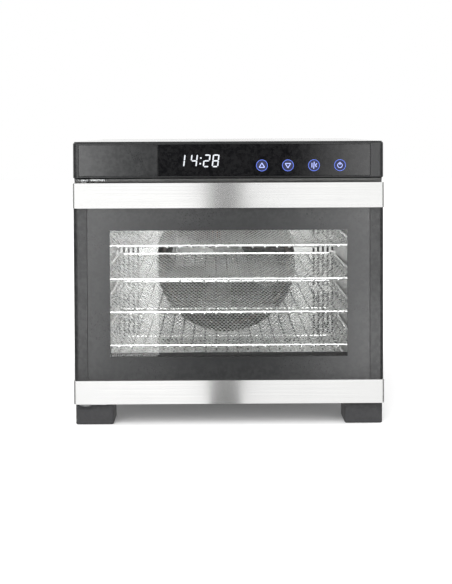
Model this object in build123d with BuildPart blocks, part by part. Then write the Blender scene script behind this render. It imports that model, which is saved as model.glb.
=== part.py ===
from build123d import *
from math import asin, cos, degrees, radians, sin
import os

# Cabinet food dehydrator: a steel box with six wire trays behind a glass door that is hinged at
# the left, a touch panel above the door, and a fan with a ring heater behind the back wall.
# Millimetres. X runs to the right, Y to the back and Z up. The origin is on the floor, under
# the middle of the machine, and the front of the door bands is at Y = -depth / 2.

# Whole machine
width = 345.0
depth = 450.0
height = 315.0
sheet = 1.0  # thickness of folded steel sheet
corner = 5.0  # rounded vertical corners at the front
foot_height = 21.5

# Heights of the front, from the floor up
door_floor_gap = 2.5
lower_band_height = 26.0
upper_band_height = 27.7
door_head_gap = 4.1
fascia_height = 41.5

# Door, from its front face to the back
band_proud = 8.0
door_core = 12.0
door_liner_sheet = 2.0
seal_gap = 3.0
seal_clearance = 0.4
pillar_width = 15.0
panel_seam = 0.5
panel_thickness = 2.5
glass_thickness = 4.0
glass_overlap = 8.0
glass_clearance = 0.2
window_margin = 25.3
frame_window_step = 2.0
sill_step = 2.8
liner_inset = 8.5
liner_edge = 1.0
gasket_width = 6.0
gasket_offset = 0.8
magnet_size = (6.0, 3.5, 46.0)
magnet_inset = 6.5
catch_sheet = 1.5

# Door hinge, a vertical axis near the left edge
hinge_inset = 12.5
hinge_behind_face = 1.0
door_back_corner = 8.0
pin_radius = 3.0
pin_clearance = 0.05
bushing_radius = 5.0
bushing_length = 12.0
hinge_plate = 1.8
hinge_plate_reach = 7.0
hinge_plate_inner = 16.0

# Drying chamber
chamber_side_gap = 14.5  # from the outside of the case to the chamber wall
chamber_floor_gap = 5.5  # from the underside of the base pan to the chamber floor
chamber_ceiling_gap = 15.5  # from the bottom of the control panel down to the chamber ceiling
machinery_room = 70.0  # from the back of the case to the chamber's back wall
mouth_side_inset = 6.5
mouth_bottom_inset = 6.0
mouth_top_inset = 2.0
mouth_flange = 9.0
slot_pitch = 6.5
slot_width = 3.0
side_slot_gap = 8.0
side_slot_rows = 3
side_slot_margin = 14.5  # from the ends of the slotted strips to the chamber floor and ceiling
end_slot_length = 8.0

# Trays and the racks that hold them
tray_count = 6
lowest_tray_gap = 19.2  # from the chamber floor to the lowest tray's rim
highest_tray_gap = 23.3  # from the highest tray's rim to the chamber ceiling
tray_side_gap = 4.0
tray_rear_gap = 28.5
tray_front_gap = 8.5  # from the front of the cabinet to the tray rim
tray_corner = 12.0
rim_radius = 1.5
wire_radius = 1.0
wire_margin = 9.5  # from the side of a tray to its first wire
wire_count = 21
mesh_thickness = 0.6
rack_side_gap = 2.0
rack_front_gap = 14.0
rack_rear_gap = 6.0
rack_ledge = 6.5
ledge_gap = 0.3
rack_foot_gap = 7.0
stop_height = 6.0
stop_gap = 0.5
rack_spacer = (10.0, 12.0)

# Fan, heater and motor on one axis that runs front to back
fan_rise = 1.5  # above the middle of the chamber
shroud_side_strip = 46.5
shroud_end_strip = 12.5
shroud_corner = 18.0
shroud_rim = 7.0
duct_gap = 8.0
duct_depth = 34.0
fan_tip_gap = 20.0
fan_blades = 4
fan_first_angle = 76.0
fan_setback = 15.0  # from the back wall to the fan disc
blade_sheet = 1.2
blade_pitch = 22.0
blade_root = 20.0
blade_root_width = 26.0
blade_tip_width = 50.0
hub_radius = 29.0
boss_radius = 8.0
boss_length = 16.0
nut_across = 11.0
nut_length = 6.0
shaft_radius = 3.0
shaft_front = 7.0
heater_edge_gap = 8.0
heater_rod = 3.3
heater_setback = 22.0
heater_leg_spread = 12.0
heater_leg_length = 26.0
heater_leg_gap = 0.5
baffle_edge_gap = (8.0, 7.5)
baffle_side_margin = 62.25
baffle_slot_margin = 16.0
baffle_band = 26.0
baffle_shaft_hole = 9.0
motor_standoff = 5.0
bracket_sheet = 1.5
bracket_size = (64.0, 26.0)
bearing_radius = 7.0
bearing_length = 5.0
stator_size = (64.0, 62.0)
stator_depth = 16.0
stator_axis_drop = 11.0
stator_window = (40.0, 16.0)
stator_window_rise = 21.0
coil_size = (38.0, 27.0, 26.0)
rotor_radius = 14.0
rotor_gap = 0.5
motor_screw_radius = 2.0
motor_screw_spread = 26.0
motor_screw_head = (3.6, 2.5)
probe_radius = 2.25
probe_tip_drop = 6.0
probe_offset = 68.0
probe_gap = 5.0
probe_clip = (14.0, 10.0)

# Control panel
fascia_wall = 2.5
fascia_bevel = 2.0
badge_left = 6.0
badge_width = 88.5
touch_right = 14.5  # from the touch panel to the right side of the machine
fascia_seam = 0.6
fascia_panel = 2.0
fascia_lip = 3.0
fascia_window_inset = 14.0
fascia_window_height = 26.0
fascia_window_shift = -4.0
display_size = (54.0, 6.0, 20.0)
display_inset = 47.4  # from the left of the touch panel to the middle of the display
display_drop = 21.4  # from the top of the machine to the middle of the display
touch_first = 115.3  # from the left of the touch panel to the first key
touch_last = 34.0  # from the last key to the right of the touch panel
touch_count = 4
touch_drop = 26.8
spring_radius = 5.5
spring_wire = 1.0
board_sheet = 1.6
control_board_inset = 4.0
control_board_height = 32.0
power_board_size = (130.0, 120.0)
power_board_inset = (94.5, 130.0)
power_board_rise = 8.0
standoff_radius = 3.0
transformer_size = (38.0, 32.0, 26.0)
transformer_at = (-30.0, 20.0)
relay_size = (28.0, 13.0, 16.0)
relay_at = (34.0, -30.0)
terminal_size = (40.0, 12.0, 14.0)
terminal_at = (20.0, 42.0)
cutout_radius = 8.0
cutout_height = 9.0
cutout_at = (-60.0, 60.0)

# Case, feet and rear panel
rear_recess = 2.0
rear_flange = 12.0
pan_flange = 4.0
vent_slot = (28.0, 3.0)
vent_pitch = (36.0, 8.0)
vent_count = (4, 12)
vent_drop = 147.0  # from the top of the machine to the middle of the rear vents
pan_vent_count = (5, 4)
pan_vent_inset = 35.0
case_screw_radius = 1.9
case_screw_head = (3.6, 1.6)
case_screw_length = 6.0
foot_size = (42.0, 47.0)
foot_rim = 1.5
foot_bevel = (5.0, 3.0)
foot_corner = 2.5
foot_edge = 1.0
rear_foot_setback = 14.0
front_screw_inset = 5.5
foot_bore = (6.5, 12.0)
foot_screw_radius = 2.2
foot_screw_head = (5.0, 3.0)
foot_screw_grip = 3.5
inlet_inset = 60.5
inlet_height = 62.0
inlet_body = (28.0, 22.0)
inlet_flange = (50.0, 26.0)
inlet_flange_sheet = 1.6
inlet_depth = 22.0
inlet_socket = (24.0, 18.0)
inlet_socket_depth = 16.0
inlet_pin = (2.0, 10.0, 4.0)
inlet_pin_spread = 7.0
inlet_pin_rise = (1.0, 5.0)
inlet_screw_spread = 20.0

# Places worked out from the sizes above
band_face = -depth / 2
face = band_face + band_proud
frame_back = face + door_core
liner_back_face = frame_back + door_liner_sheet
cabinet_front = liner_back_face + seal_gap
case_rear = depth / 2
rear_panel_front = case_rear - rear_recess - sheet
fascia_bottom = height - fascia_height
door_bottom = foot_height + door_floor_gap
door_top = fascia_bottom - door_head_gap
panel_bottom = door_bottom + lower_band_height
panel_top = door_top - upper_band_height
panel_width = width - 2 * pillar_width
panel_mid = (panel_bottom + panel_top) / 2
window_width = panel_width - 2 * window_margin
window_height = panel_top - panel_bottom - 2 * window_margin
band_back = liner_back_face - door_back_corner
case_inner_width = width - 2 * sheet
chamber_width = width - 2 * chamber_side_gap
chamber_floor = foot_height + chamber_floor_gap
chamber_ceiling = fascia_bottom - chamber_ceiling_gap
chamber_back = case_rear - machinery_room
mouth_width = chamber_width - 2 * mouth_side_inset
mouth_bottom = chamber_floor + mouth_bottom_inset
mouth_top = chamber_ceiling - mouth_top_inset
mouth_mid = (mouth_bottom + mouth_top) / 2
mouth_height = mouth_top - mouth_bottom
chamber_mid = (chamber_floor + chamber_ceiling) / 2
chamber_height = chamber_ceiling - chamber_floor
side_slots_height = chamber_height - 2 * side_slot_margin - (side_slot_rows - 1) * side_slot_gap
side_slot_length = side_slots_height / side_slot_rows
liner_front = cabinet_front + sheet
hinge_x = -width / 2 + hinge_inset
hinge_y = face + hinge_behind_face
tray_front = cabinet_front + tray_front_gap
tray_width = mouth_width - 2 * tray_side_gap
tray_depth = chamber_back - tray_rear_gap - tray_front
tray_mid = tray_front + tray_depth / 2
lowest_tray = chamber_floor + lowest_tray_gap
tray_pitch = (chamber_ceiling - highest_tray_gap - lowest_tray) / (tray_count - 1)
wire_pitch = (tray_width - 2 * wire_margin) / (wire_count - 1)
fan_height = chamber_mid + fan_rise
shroud_width = chamber_width - 2 * shroud_side_strip
shroud_height = chamber_height - 2 * shroud_end_strip
shroud_opening = min(shroud_width, shroud_height) / 2 - shroud_rim
fan_radius = shroud_opening - fan_tip_gap
heater_radius = shroud_opening - heater_edge_gap
baffle_width = chamber_width - 2 * baffle_edge_gap[0]
baffle_height = chamber_height - 2 * baffle_edge_gap[1]
baffle_slot_count = round((baffle_width - 2 * baffle_side_margin) / slot_pitch)
baffle_slot_length = baffle_height / 2 - baffle_band - baffle_slot_margin
fan_plane = chamber_back + fan_setback
baffle_front = chamber_back + sheet + duct_depth
motor_front = baffle_front + sheet + motor_standoff
stator_front = motor_front + bracket_sheet
stator_back = stator_front + stator_depth
foot_x = width / 2 - foot_rim - foot_size[0] / 2
foot_front_y = liner_front + front_screw_inset
foot_rear_y = case_rear - rear_foot_setback - foot_size[1] / 2
control_floor = chamber_ceiling + sheet + power_board_rise
heater_half_gap = degrees(asin(heater_leg_spread / heater_radius))
heater_leg_drop = heater_radius * cos(radians(heater_half_gap))
heater_legs = [(side * heater_leg_spread, fan_height - heater_leg_drop) for side in (-1, 1)]
touch_left = badge_left + badge_width - width / 2
touch_width = width / 2 - touch_right - touch_left
touch_panel_x = touch_left + touch_width / 2
touch_pitch = (touch_width - touch_first - touch_last) / (touch_count - 1)
touch_x = [touch_left + touch_first + n * touch_pitch for n in range(touch_count)]
display_x = touch_left + display_inset
fascia_window_x = touch_panel_x + fascia_window_shift
fascia_window_width = touch_width - 2 * fascia_window_inset
power_board_centre = (width / 2 - power_board_inset[0], cabinet_front + power_board_inset[1])
vent_height = height - vent_drop
pan_vent_y = case_rear - pan_vent_inset
inlet_at = (width / 2 - inlet_inset, inlet_height)

os.makedirs("parts", exist_ok=True)


def across(y):
    """Plane at depth y that faces the front: its X is the machine's X and its Y is height."""
    return Plane.XZ.offset(-y)


def rounded_front(plan, plan_width, front, back, radius):
    """Draw a rectangle seen from above in the open sketch and round its two front corners."""
    with Locations((0, (front + back) / 2)):
        Rectangle(plan_width, back - front)
    fillet(plan.vertices().group_by(Axis.Y)[0], radius)


# ---------------------------------------------------------------------------------------------
# Case
# ---------------------------------------------------------------------------------------------
with BuildPart() as outer_shell:
    with BuildSketch(across(cabinet_front)):
        with Locations((0, (foot_height + height) / 2)):
            Rectangle(width, height - foot_height)
        with Locations((0, (foot_height + height) / 2 - sheet / 2)):
            Rectangle(case_inner_width, height - foot_height - sheet, mode=Mode.SUBTRACT)
    extrude(amount=cabinet_front - case_rear)
    with BuildSketch(across(rear_panel_front - sheet)):
        with Locations((0, (foot_height + height) / 2)):
            Rectangle(width, height - foot_height)
        with Locations((0, (foot_height + height - sheet - rear_flange) / 2)):
            flange_opening = case_inner_width - 2 * rear_flange
            Rectangle(flange_opening, height - foot_height - sheet - rear_flange, mode=Mode.SUBTRACT)
    extrude(amount=-sheet)
    case_screw_points = [
        (side * (case_inner_width / 2 - rear_flange / 2), z)
        for side in (-1, 1)
        for z in (foot_height + 4 * rear_flange, vent_height, height - sheet - rear_flange)
    ]
    with BuildSketch(across(rear_panel_front - sheet)):
        with Locations(case_screw_points):
            Circle(case_screw_radius)
    extrude(amount=-sheet, mode=Mode.SUBTRACT)
outer_shell.part.label = "outer_shell"
export_step(outer_shell.part, "parts/outer_shell.step")

pan_front = liner_front
pan_back = rear_panel_front - sheet
with BuildPart() as base_pan:
    with BuildSketch(Plane.XY.offset(foot_height)):
        with Locations((0, (pan_front + pan_back) / 2)):
            Rectangle(case_inner_width, pan_back - pan_front)
    extrude(amount=pan_flange)
    with BuildSketch(Plane.XY.offset(foot_height + sheet)):
        with Locations((0, (pan_front + pan_back) / 2)):
            Rectangle(case_inner_width - 2 * sheet, pan_back - pan_front - 2 * sheet)
    extrude(amount=pan_flange, mode=Mode.SUBTRACT)
    with BuildSketch(Plane.XY.offset(foot_height)):
        with Locations((0, pan_vent_y)):
            with GridLocations(*vent_pitch, *pan_vent_count):
                SlotOverall(*vent_slot)
        with Locations(*[(x, y) for x in (-foot_x, foot_x) for y in (foot_front_y, foot_rear_y)]):
            Circle(foot_screw_radius)
    extrude(amount=sheet, mode=Mode.SUBTRACT)
base_pan.part.label = "base_pan"
export_step(base_pan.part, "parts/base_pan.step")

with BuildPart() as rear_panel:
    with BuildSketch(across(rear_panel_front)):
        with Locations((0, (foot_height + height - sheet) / 2)):
            Rectangle(case_inner_width, height - sheet - foot_height)
        with Locations((0, vent_height)):
            with GridLocations(*vent_pitch, *vent_count):
                SlotOverall(*vent_slot, mode=Mode.SUBTRACT)
        with Locations(inlet_at):
            Rectangle(*inlet_body, mode=Mode.SUBTRACT)
            with GridLocations(2 * inlet_screw_spread, 0, 2, 1):
                Circle(case_screw_radius, mode=Mode.SUBTRACT)
        with Locations(case_screw_points):
            Circle(case_screw_radius, mode=Mode.SUBTRACT)
    extrude(amount=-sheet)
rear_panel.part.label = "rear_panel"
export_step(rear_panel.part, "parts/rear_panel.step")

with BuildPart() as front_frame:
    with BuildSketch(across(cabinet_front)):
        with Locations((0, (foot_height + fascia_bottom) / 2)):
            Rectangle(case_inner_width, fascia_bottom - foot_height)
        with Locations((0, mouth_mid)):
            Rectangle(mouth_width, mouth_height, mode=Mode.SUBTRACT)
    extrude(amount=-sheet)
    with BuildSketch(across(cabinet_front)):
        with Locations((0, mouth_mid)):
            Rectangle(mouth_width + 2 * sheet, mouth_height + 2 * sheet)
            Rectangle(mouth_width, mouth_height, mode=Mode.SUBTRACT)
    extrude(amount=-mouth_flange)
front_frame.part.label = "front_frame"
export_step(front_frame.part, "parts/front_frame.step")

# Feet, each a rubber block with a bevelled front and a bore for its screw
foot_places = {
    "foot_front_left": (-foot_x, foot_front_y),
    "foot_front_right": (foot_x, foot_front_y),
    "foot_rear_left": (-foot_x, foot_rear_y),
    "foot_rear_right": (foot_x, foot_rear_y),
}
for foot_name, foot_place in foot_places.items():
    with BuildPart() as foot:
        foot_front = foot_place[1] - foot_size[1] / 2
        foot_back = foot_place[1] + foot_size[1] / 2
        with BuildSketch(Plane.YZ.offset(foot_place[0] - foot_size[0] / 2)):
            with BuildLine():
                Polyline(
                    (foot_front, 0),
                    (foot_back, 0),
                    (foot_back, foot_height),
                    (foot_front + foot_bevel[1], foot_height),
                    (foot_front, foot_height - foot_bevel[0]),
                    close=True,
                )
            make_face()
        extrude(amount=foot_size[0])
        fillet(foot.edges().filter_by(Axis.Z), foot_corner)
        chamfer(foot.faces().sort_by(Axis.Z)[0].edges(), foot_edge)
        with Locations((*foot_place, 0)):
            Cylinder(foot_bore[0], 2 * foot_bore[1], mode=Mode.SUBTRACT)
            Cylinder(foot_screw_radius, 2 * foot_height + sheet, mode=Mode.SUBTRACT)
    foot.part.label = foot_name
    export_step(foot.part, f"parts/{foot_name}.step")

with BuildPart() as foot_screws:
    with BuildSketch(Plane.XY.offset(foot_bore[1] - foot_screw_head[1])):
        with Locations(*foot_places.values()):
            Circle(foot_screw_head[0])
    extrude(amount=foot_screw_head[1])
    with BuildSketch(Plane.XY.offset(foot_bore[1])):
        with Locations(*foot_places.values()):
            Circle(foot_screw_radius)
    extrude(amount=foot_height - foot_bore[1] + foot_screw_grip)
foot_screws.part.label = "foot_screws"
export_step(foot_screws.part, "parts/foot_screws.step")

with BuildPart() as case_screws:
    with BuildSketch(across(case_rear - rear_recess)):
        with Locations(case_screw_points):
            Circle(case_screw_head[0])
    extrude(amount=-case_screw_head[1])
    with BuildSketch(across(case_rear - rear_recess)):
        with Locations(case_screw_points):
            Circle(case_screw_radius)
    extrude(amount=case_screw_length)
case_screws.part.label = "case_screws"
export_step(case_screws.part, "parts/case_screws.step")

# Appliance inlet in the rear panel, with its three pins
inlet_face = case_rear - rear_recess
inlet_mouth = inlet_face + inlet_flange_sheet
with BuildPart() as power_inlet:
    with BuildSketch(across(inlet_face)) as inlet_flange_plan:
        with Locations(inlet_at):
            Rectangle(*inlet_flange)
        fillet(inlet_flange_plan.vertices(), foot_edge)
        with Locations(inlet_at):
            with GridLocations(2 * inlet_screw_spread, 0, 2, 1):
                Circle(case_screw_radius, mode=Mode.SUBTRACT)
    extrude(amount=-inlet_flange_sheet)
    with BuildSketch(across(inlet_face)):
        with Locations(inlet_at):
            Rectangle(*inlet_body)
    extrude(amount=inlet_depth)
    with BuildSketch(across(inlet_mouth)):
        with Locations(inlet_at):
            Rectangle(*inlet_socket)
    extrude(amount=inlet_socket_depth, mode=Mode.SUBTRACT)
power_inlet.part.label = "power_inlet"
export_step(power_inlet.part, "parts/power_inlet.step")

with BuildPart() as inlet_pins:
    with BuildSketch(across(inlet_mouth - inlet_socket_depth)):
        pin_places = [(-inlet_pin_spread, inlet_pin_rise[0]), (0, inlet_pin_rise[1])]
        pin_places.append((inlet_pin_spread, inlet_pin_rise[0]))
        with Locations(*[(inlet_at[0] + x, inlet_at[1] + z) for x, z in pin_places]):
            Rectangle(inlet_pin[0], inlet_pin[2])
    extrude(amount=-inlet_pin[1])
inlet_pins.part.label = "inlet_pins"
export_step(inlet_pins.part, "parts/inlet_pins.step")

# ---------------------------------------------------------------------------------------------
# Drying chamber
# ---------------------------------------------------------------------------------------------
liner_depth = chamber_back - liner_front
liner_mid_y = (chamber_back + liner_front) / 2
for liner_name, liner_z in (("liner_floor", chamber_floor - sheet), ("liner_top", chamber_ceiling)):
    with BuildPart() as liner_plate:
        with BuildSketch(Plane.XY.offset(liner_z)):
            with Locations((0, liner_mid_y)):
                Rectangle(chamber_width, liner_depth)
        extrude(amount=sheet)
    liner_plate.part.label = liner_name
    export_step(liner_plate.part, f"parts/{liner_name}.step")

for liner_name, liner_x in (("liner_left", -chamber_width / 2 - sheet), ("liner_right", chamber_width / 2)):
    with BuildPart() as liner_wall:
        with BuildSketch(Plane.YZ.offset(liner_x)):
            with Locations((liner_mid_y, chamber_mid)):
                Rectangle(liner_depth, chamber_height + 2 * sheet)
        extrude(amount=sheet)
    liner_wall.part.label = liner_name
    export_step(liner_wall.part, f"parts/{liner_name}.step")

side_strip = (chamber_width - shroud_width) / 2
side_slot_count = int((side_strip - 2 * slot_pitch) / slot_pitch)
end_slot_count = int(shroud_width / slot_pitch)
end_slot_z = (
    (chamber_floor + fan_height - shroud_height / 2) / 2,
    (chamber_ceiling + fan_height + shroud_height / 2) / 2,
)
with BuildPart() as liner_back:
    with BuildSketch(across(chamber_back)):
        with Locations((0, chamber_mid)):
            Rectangle(chamber_width + 2 * sheet, chamber_height + 2 * sheet)
        with Locations((0, fan_height)):
            Circle(shroud_opening, mode=Mode.SUBTRACT)
        for side in (-1, 1):
            with Locations((side * (shroud_width + side_strip) / 2, chamber_mid)):
                row_pitch = side_slot_length + side_slot_gap
                with GridLocations(slot_pitch, row_pitch, side_slot_count, side_slot_rows):
                    SlotOverall(side_slot_length, slot_width, rotation=90, mode=Mode.SUBTRACT)
        for slot_z in end_slot_z:
            with Locations((0, slot_z)):
                with GridLocations(slot_pitch, 0, end_slot_count, 1):
                    SlotOverall(end_slot_length, slot_width, rotation=90, mode=Mode.SUBTRACT)
    extrude(amount=-sheet)
liner_back.part.label = "liner_back"
export_step(liner_back.part, "parts/liner_back.step")

# Racks: an upright plate each side with a ledge and a rear stop for every tray
rack_inner = tray_width / 2 + rack_side_gap
rack_front = cabinet_front + rack_front_gap
rack_back = chamber_back - rack_rear_gap
rack_bottom = chamber_floor + rack_foot_gap
rack_top = chamber_ceiling - rack_foot_gap
stop_y = tray_front + tray_depth + stop_gap
tray_levels = [lowest_tray + n * tray_pitch for n in range(tray_count)]
ledge_tops = [z - rim_radius - ledge_gap for z in tray_levels]
spacer_width = chamber_width / 2 - rack_inner
for side, rack_name in ((-1, "rack_left"), (1, "rack_right")):
    with BuildPart() as rack:
        with BuildSketch(Plane.XY.offset(rack_bottom)):
            with Locations((side * (rack_inner + sheet / 2), (rack_front + rack_back) / 2)):
                Rectangle(sheet, rack_back - rack_front)
        extrude(amount=rack_top - rack_bottom)
        for ledge_top in ledge_tops:
            with BuildSketch(Plane.XY.offset(ledge_top - sheet)):
                with Locations((side * (rack_inner - rack_ledge / 2), (rack_front + stop_y) / 2)):
                    Rectangle(rack_ledge, stop_y - rack_front)
            extrude(amount=sheet)
            with BuildSketch(Plane.XY.offset(ledge_top - sheet)):
                with Locations((side * (rack_inner - rack_ledge / 2), stop_y + sheet / 2)):
                    Rectangle(rack_ledge, sheet)
            extrude(amount=stop_height)
        spacer_x = side * (rack_inner + spacer_width / 2)
        spacer_y = (rack_front + rack_spacer[0], rack_back - rack_spacer[0])
        spacer_z = (rack_bottom + rack_spacer[1] / 2, rack_top - rack_spacer[1] / 2)
        with Locations(*[(spacer_x, y, z) for y in spacer_y for z in spacer_z]):
            Box(spacer_width, *rack_spacer)
    rack.part.label = rack_name
    export_step(rack.part, f"parts/{rack_name}.step")

# Trays: a round rim, wires that run front to back under it, and the mesh that lies on them
rim_width = tray_width - 2 * rim_radius
rim_depth = tray_depth - 2 * rim_radius
for number, tray_z in enumerate(tray_levels, start=1):
    with BuildPart() as tray:
        with BuildSketch(Plane.XY.offset(tray_z - rim_radius + mesh_thickness / 2)) as mesh_plan:
            with Locations((0, tray_mid)):
                RectangleRounded(rim_width, rim_depth, tray_corner)
        extrude(amount=mesh_thickness)
        with Locations((0, tray_mid, tray_z - rim_radius)):
            with GridLocations(wire_pitch, 0, wire_count, 1):
                Cylinder(wire_radius, tray_depth, rotation=(90, 0, 0))
        with BuildSketch(Plane.XY.offset(tray_z), mode=Mode.PRIVATE) as rim_plan:
            with Locations((0, tray_mid)):
                RectangleRounded(rim_width, rim_depth, tray_corner)
        rim_path = rim_plan.sketch.face().outer_wire()
        with BuildSketch(Plane(origin=rim_path @ 0, z_dir=rim_path % 0)):
            Circle(rim_radius)
        sweep(path=rim_path)
    tray.part.label = f"tray_{number}"
    export_step(tray.part, f"parts/tray_{number}.step")

# ---------------------------------------------------------------------------------------------
# Fan, heater and motor
# ---------------------------------------------------------------------------------------------
with BuildPart() as fan_shroud:
    with BuildSketch(across(chamber_back)):
        with Locations((0, fan_height)):
            RectangleRounded(shroud_width, shroud_height, shroud_corner)
            Circle(shroud_opening, mode=Mode.SUBTRACT)
    extrude(amount=sheet)
fan_shroud.part.label = "fan_shroud"
export_step(fan_shroud.part, "parts/fan_shroud.step")

duct_radius = shroud_opening + duct_gap
with BuildPart() as fan_duct:
    with BuildSketch(across(chamber_back + sheet)):
        with Locations((0, fan_height)):
            Circle(duct_radius + sheet)
            Circle(duct_radius, mode=Mode.SUBTRACT)
    extrude(amount=-duct_depth)
fan_duct.part.label = "fan_duct"
export_step(fan_duct.part, "parts/fan_duct.step")

baffle_row_offset = baffle_band + baffle_slot_length / 2
with BuildPart() as rear_baffle:
    with BuildSketch(across(baffle_front)):
        with Locations((0, chamber_mid)):
            Rectangle(baffle_width, baffle_height)
        with Locations((0, fan_height)):
            with GridLocations(slot_pitch, 2 * baffle_row_offset, baffle_slot_count, 2):
                SlotOverall(baffle_slot_length, slot_width, rotation=90, mode=Mode.SUBTRACT)
            Circle(baffle_shaft_hole, mode=Mode.SUBTRACT)
            with GridLocations(2 * motor_screw_spread, 0, 2, 1):
                Circle(motor_screw_radius, mode=Mode.SUBTRACT)
        with Locations(heater_legs):
            Circle(heater_rod + heater_leg_gap, mode=Mode.SUBTRACT)
    extrude(amount=-sheet)
rear_baffle.part.label = "rear_baffle"
export_step(rear_baffle.part, "parts/rear_baffle.step")

# Ring heater: most of a circle round the fan, whose ends turn back through the baffle
heater_y = chamber_back + heater_setback
with BuildPart() as heater_element:
    with BuildLine(across(heater_y)) as heater_ring:
        first_angle = heater_half_gap - 90
        CenterArc((0, fan_height), heater_radius, first_angle, 360 - 2 * heater_half_gap)
    with BuildSketch(Plane(origin=heater_ring.line @ 0, z_dir=heater_ring.line % 0)):
        Circle(heater_rod)
    sweep(path=heater_ring.line)
    leg_ends = [heater_ring.line @ 0, heater_ring.line @ 1]
    with Locations(*leg_ends):
        Sphere(heater_rod)
        Cylinder(
            heater_rod,
            heater_leg_length,
            rotation=(-90, 0, 0),
            align=(Align.CENTER, Align.CENTER, Align.MIN),
        )
heater_element.part.label = "heater_element"
export_step(heater_element.part, "parts/heater_element.step")

with BuildPart() as fan_blade:
    with BuildSketch(across(fan_plane)):
        with Locations((0, fan_height)):
            Circle(hub_radius)
    extrude(amount=-blade_sheet)
    with BuildSketch(across(fan_plane)):
        with Locations((0, fan_height)):
            Circle(boss_radius)
    extrude(amount=-boss_length)
    for n in range(fan_blades):
        angle = radians(fan_first_angle + n * 360 / fan_blades)
        outward = Vector(cos(angle), 0, sin(angle))
        around = Vector(-sin(angle), 0, cos(angle))
        tilt = radians(blade_pitch)
        blade_normal = Vector(0, -cos(tilt), 0) + around * sin(tilt)
        blade_origin = (0, fan_plane + blade_sheet, fan_height)
        with BuildSketch(Plane(origin=blade_origin, x_dir=outward, z_dir=blade_normal)) as blade_plan:
            with BuildLine():
                blade_tip = fan_radius - blade_tip_width / 4
                Polyline(
                    (blade_root, -blade_root_width / 2),
                    (blade_tip, -blade_tip_width / 2),
                    (fan_radius, -blade_tip_width / 4),
                    (fan_radius, blade_tip_width / 4),
                    (blade_tip, blade_tip_width / 2),
                    (blade_root, blade_root_width / 2),
                    close=True,
                )
            make_face()
        extrude(amount=blade_sheet)
    with Locations((0, fan_plane, fan_height)):
        Cylinder(shaft_radius, 3 * boss_length, rotation=(90, 0, 0), mode=Mode.SUBTRACT)
fan_blade.part.label = "fan_blade"
export_step(fan_blade.part, "parts/fan_blade.step")

with BuildPart() as fan_nut:
    with BuildSketch(across(fan_plane)):
        with Locations((0, fan_height)):
            RegularPolygon(nut_across / 2, 6, major_radius=False)
            Circle(shaft_radius, mode=Mode.SUBTRACT)
    extrude(amount=nut_length)
fan_nut.part.label = "fan_nut"
export_step(fan_nut.part, "parts/fan_nut.step")

rear_bearing_back = stator_back + bracket_sheet + bearing_length
with BuildPart() as motor_rotor:
    with BuildSketch(across(fan_plane - shaft_front)):
        with Locations((0, fan_height)):
            Circle(shaft_radius)
    extrude(amount=fan_plane - shaft_front - rear_bearing_back)
    with BuildSketch(across(stator_front)):
        with Locations((0, fan_height)):
            Circle(rotor_radius)
    extrude(amount=-stator_depth)
motor_rotor.part.label = "motor_rotor"
export_step(motor_rotor.part, "parts/motor_rotor.step")

stator_mid = fan_height + stator_axis_drop
window_mid = fan_height + stator_window_rise + stator_window[1] / 2
with BuildPart() as motor_stator:
    with BuildSketch(across(stator_front)):
        with Locations((0, stator_mid)):
            Rectangle(*stator_size)
        with Locations((0, fan_height)):
            Circle(rotor_radius + rotor_gap, mode=Mode.SUBTRACT)
            with GridLocations(2 * motor_screw_spread, 0, 2, 1):
                Circle(motor_screw_radius, mode=Mode.SUBTRACT)
        with Locations((0, window_mid)):
            Rectangle(*stator_window, mode=Mode.SUBTRACT)
    extrude(amount=-stator_depth)
motor_stator.part.label = "motor_stator"
export_step(motor_stator.part, "parts/motor_stator.step")

limb_bottom = window_mid + stator_window[1] / 2
limb_top = stator_mid + stator_size[1] / 2
limb_mid = (limb_bottom + limb_top) / 2
with BuildPart() as motor_coil:
    with BuildSketch(Plane.YZ.offset(-coil_size[0] / 2)):
        with Locations(((stator_front + stator_back) / 2, limb_mid)):
            Rectangle(coil_size[2], coil_size[1])
            Rectangle(stator_depth, limb_top - limb_bottom, mode=Mode.SUBTRACT)
    extrude(amount=coil_size[0])
motor_coil.part.label = "motor_coil"
export_step(motor_coil.part, "parts/motor_coil.step")

bracket_faces = (motor_front, stator_back)
with BuildPart() as motor_brackets:
    for bracket_y in bracket_faces:
        with BuildSketch(across(bracket_y)):
            with Locations((0, fan_height)):
                Rectangle(*bracket_size)
                Circle(bearing_radius, mode=Mode.SUBTRACT)
                with GridLocations(2 * motor_screw_spread, 0, 2, 1):
                    Circle(motor_screw_radius, mode=Mode.SUBTRACT)
        extrude(amount=-bracket_sheet)
    with BuildSketch(across(motor_front)):
        with Locations((0, fan_height)):
            with GridLocations(2 * motor_screw_spread, 0, 2, 1):
                Circle(2 * motor_screw_radius)
                Circle(motor_screw_radius, mode=Mode.SUBTRACT)
    extrude(amount=motor_standoff)
motor_brackets.part.label = "motor_brackets"
export_step(motor_brackets.part, "parts/motor_brackets.step")

bearing_faces = (stator_front - bearing_length, stator_back)
with BuildPart() as motor_bearings:
    for bearing_y in bearing_faces:
        with BuildSketch(across(bearing_y)):
            with Locations((0, fan_height)):
                Circle(bearing_radius)
                Circle(shaft_radius + pin_clearance, mode=Mode.SUBTRACT)
        extrude(amount=-bearing_length)
motor_bearings.part.label = "motor_bearings"
export_step(motor_bearings.part, "parts/motor_bearings.step")

with BuildPart() as motor_screws:
    with BuildSketch(across(baffle_front)):
        with Locations((0, fan_height)):
            with GridLocations(2 * motor_screw_spread, 0, 2, 1):
                Circle(motor_screw_head[0])
    extrude(amount=motor_screw_head[1])
    with BuildSketch(across(baffle_front)):
        with Locations((0, fan_height)):
            with GridLocations(2 * motor_screw_spread, 0, 2, 1):
                Circle(motor_screw_radius)
    extrude(amount=baffle_front - stator_back - 2 * bracket_sheet)
motor_screws.part.label = "motor_screws"
export_step(motor_screws.part, "parts/motor_screws.step")

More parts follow.
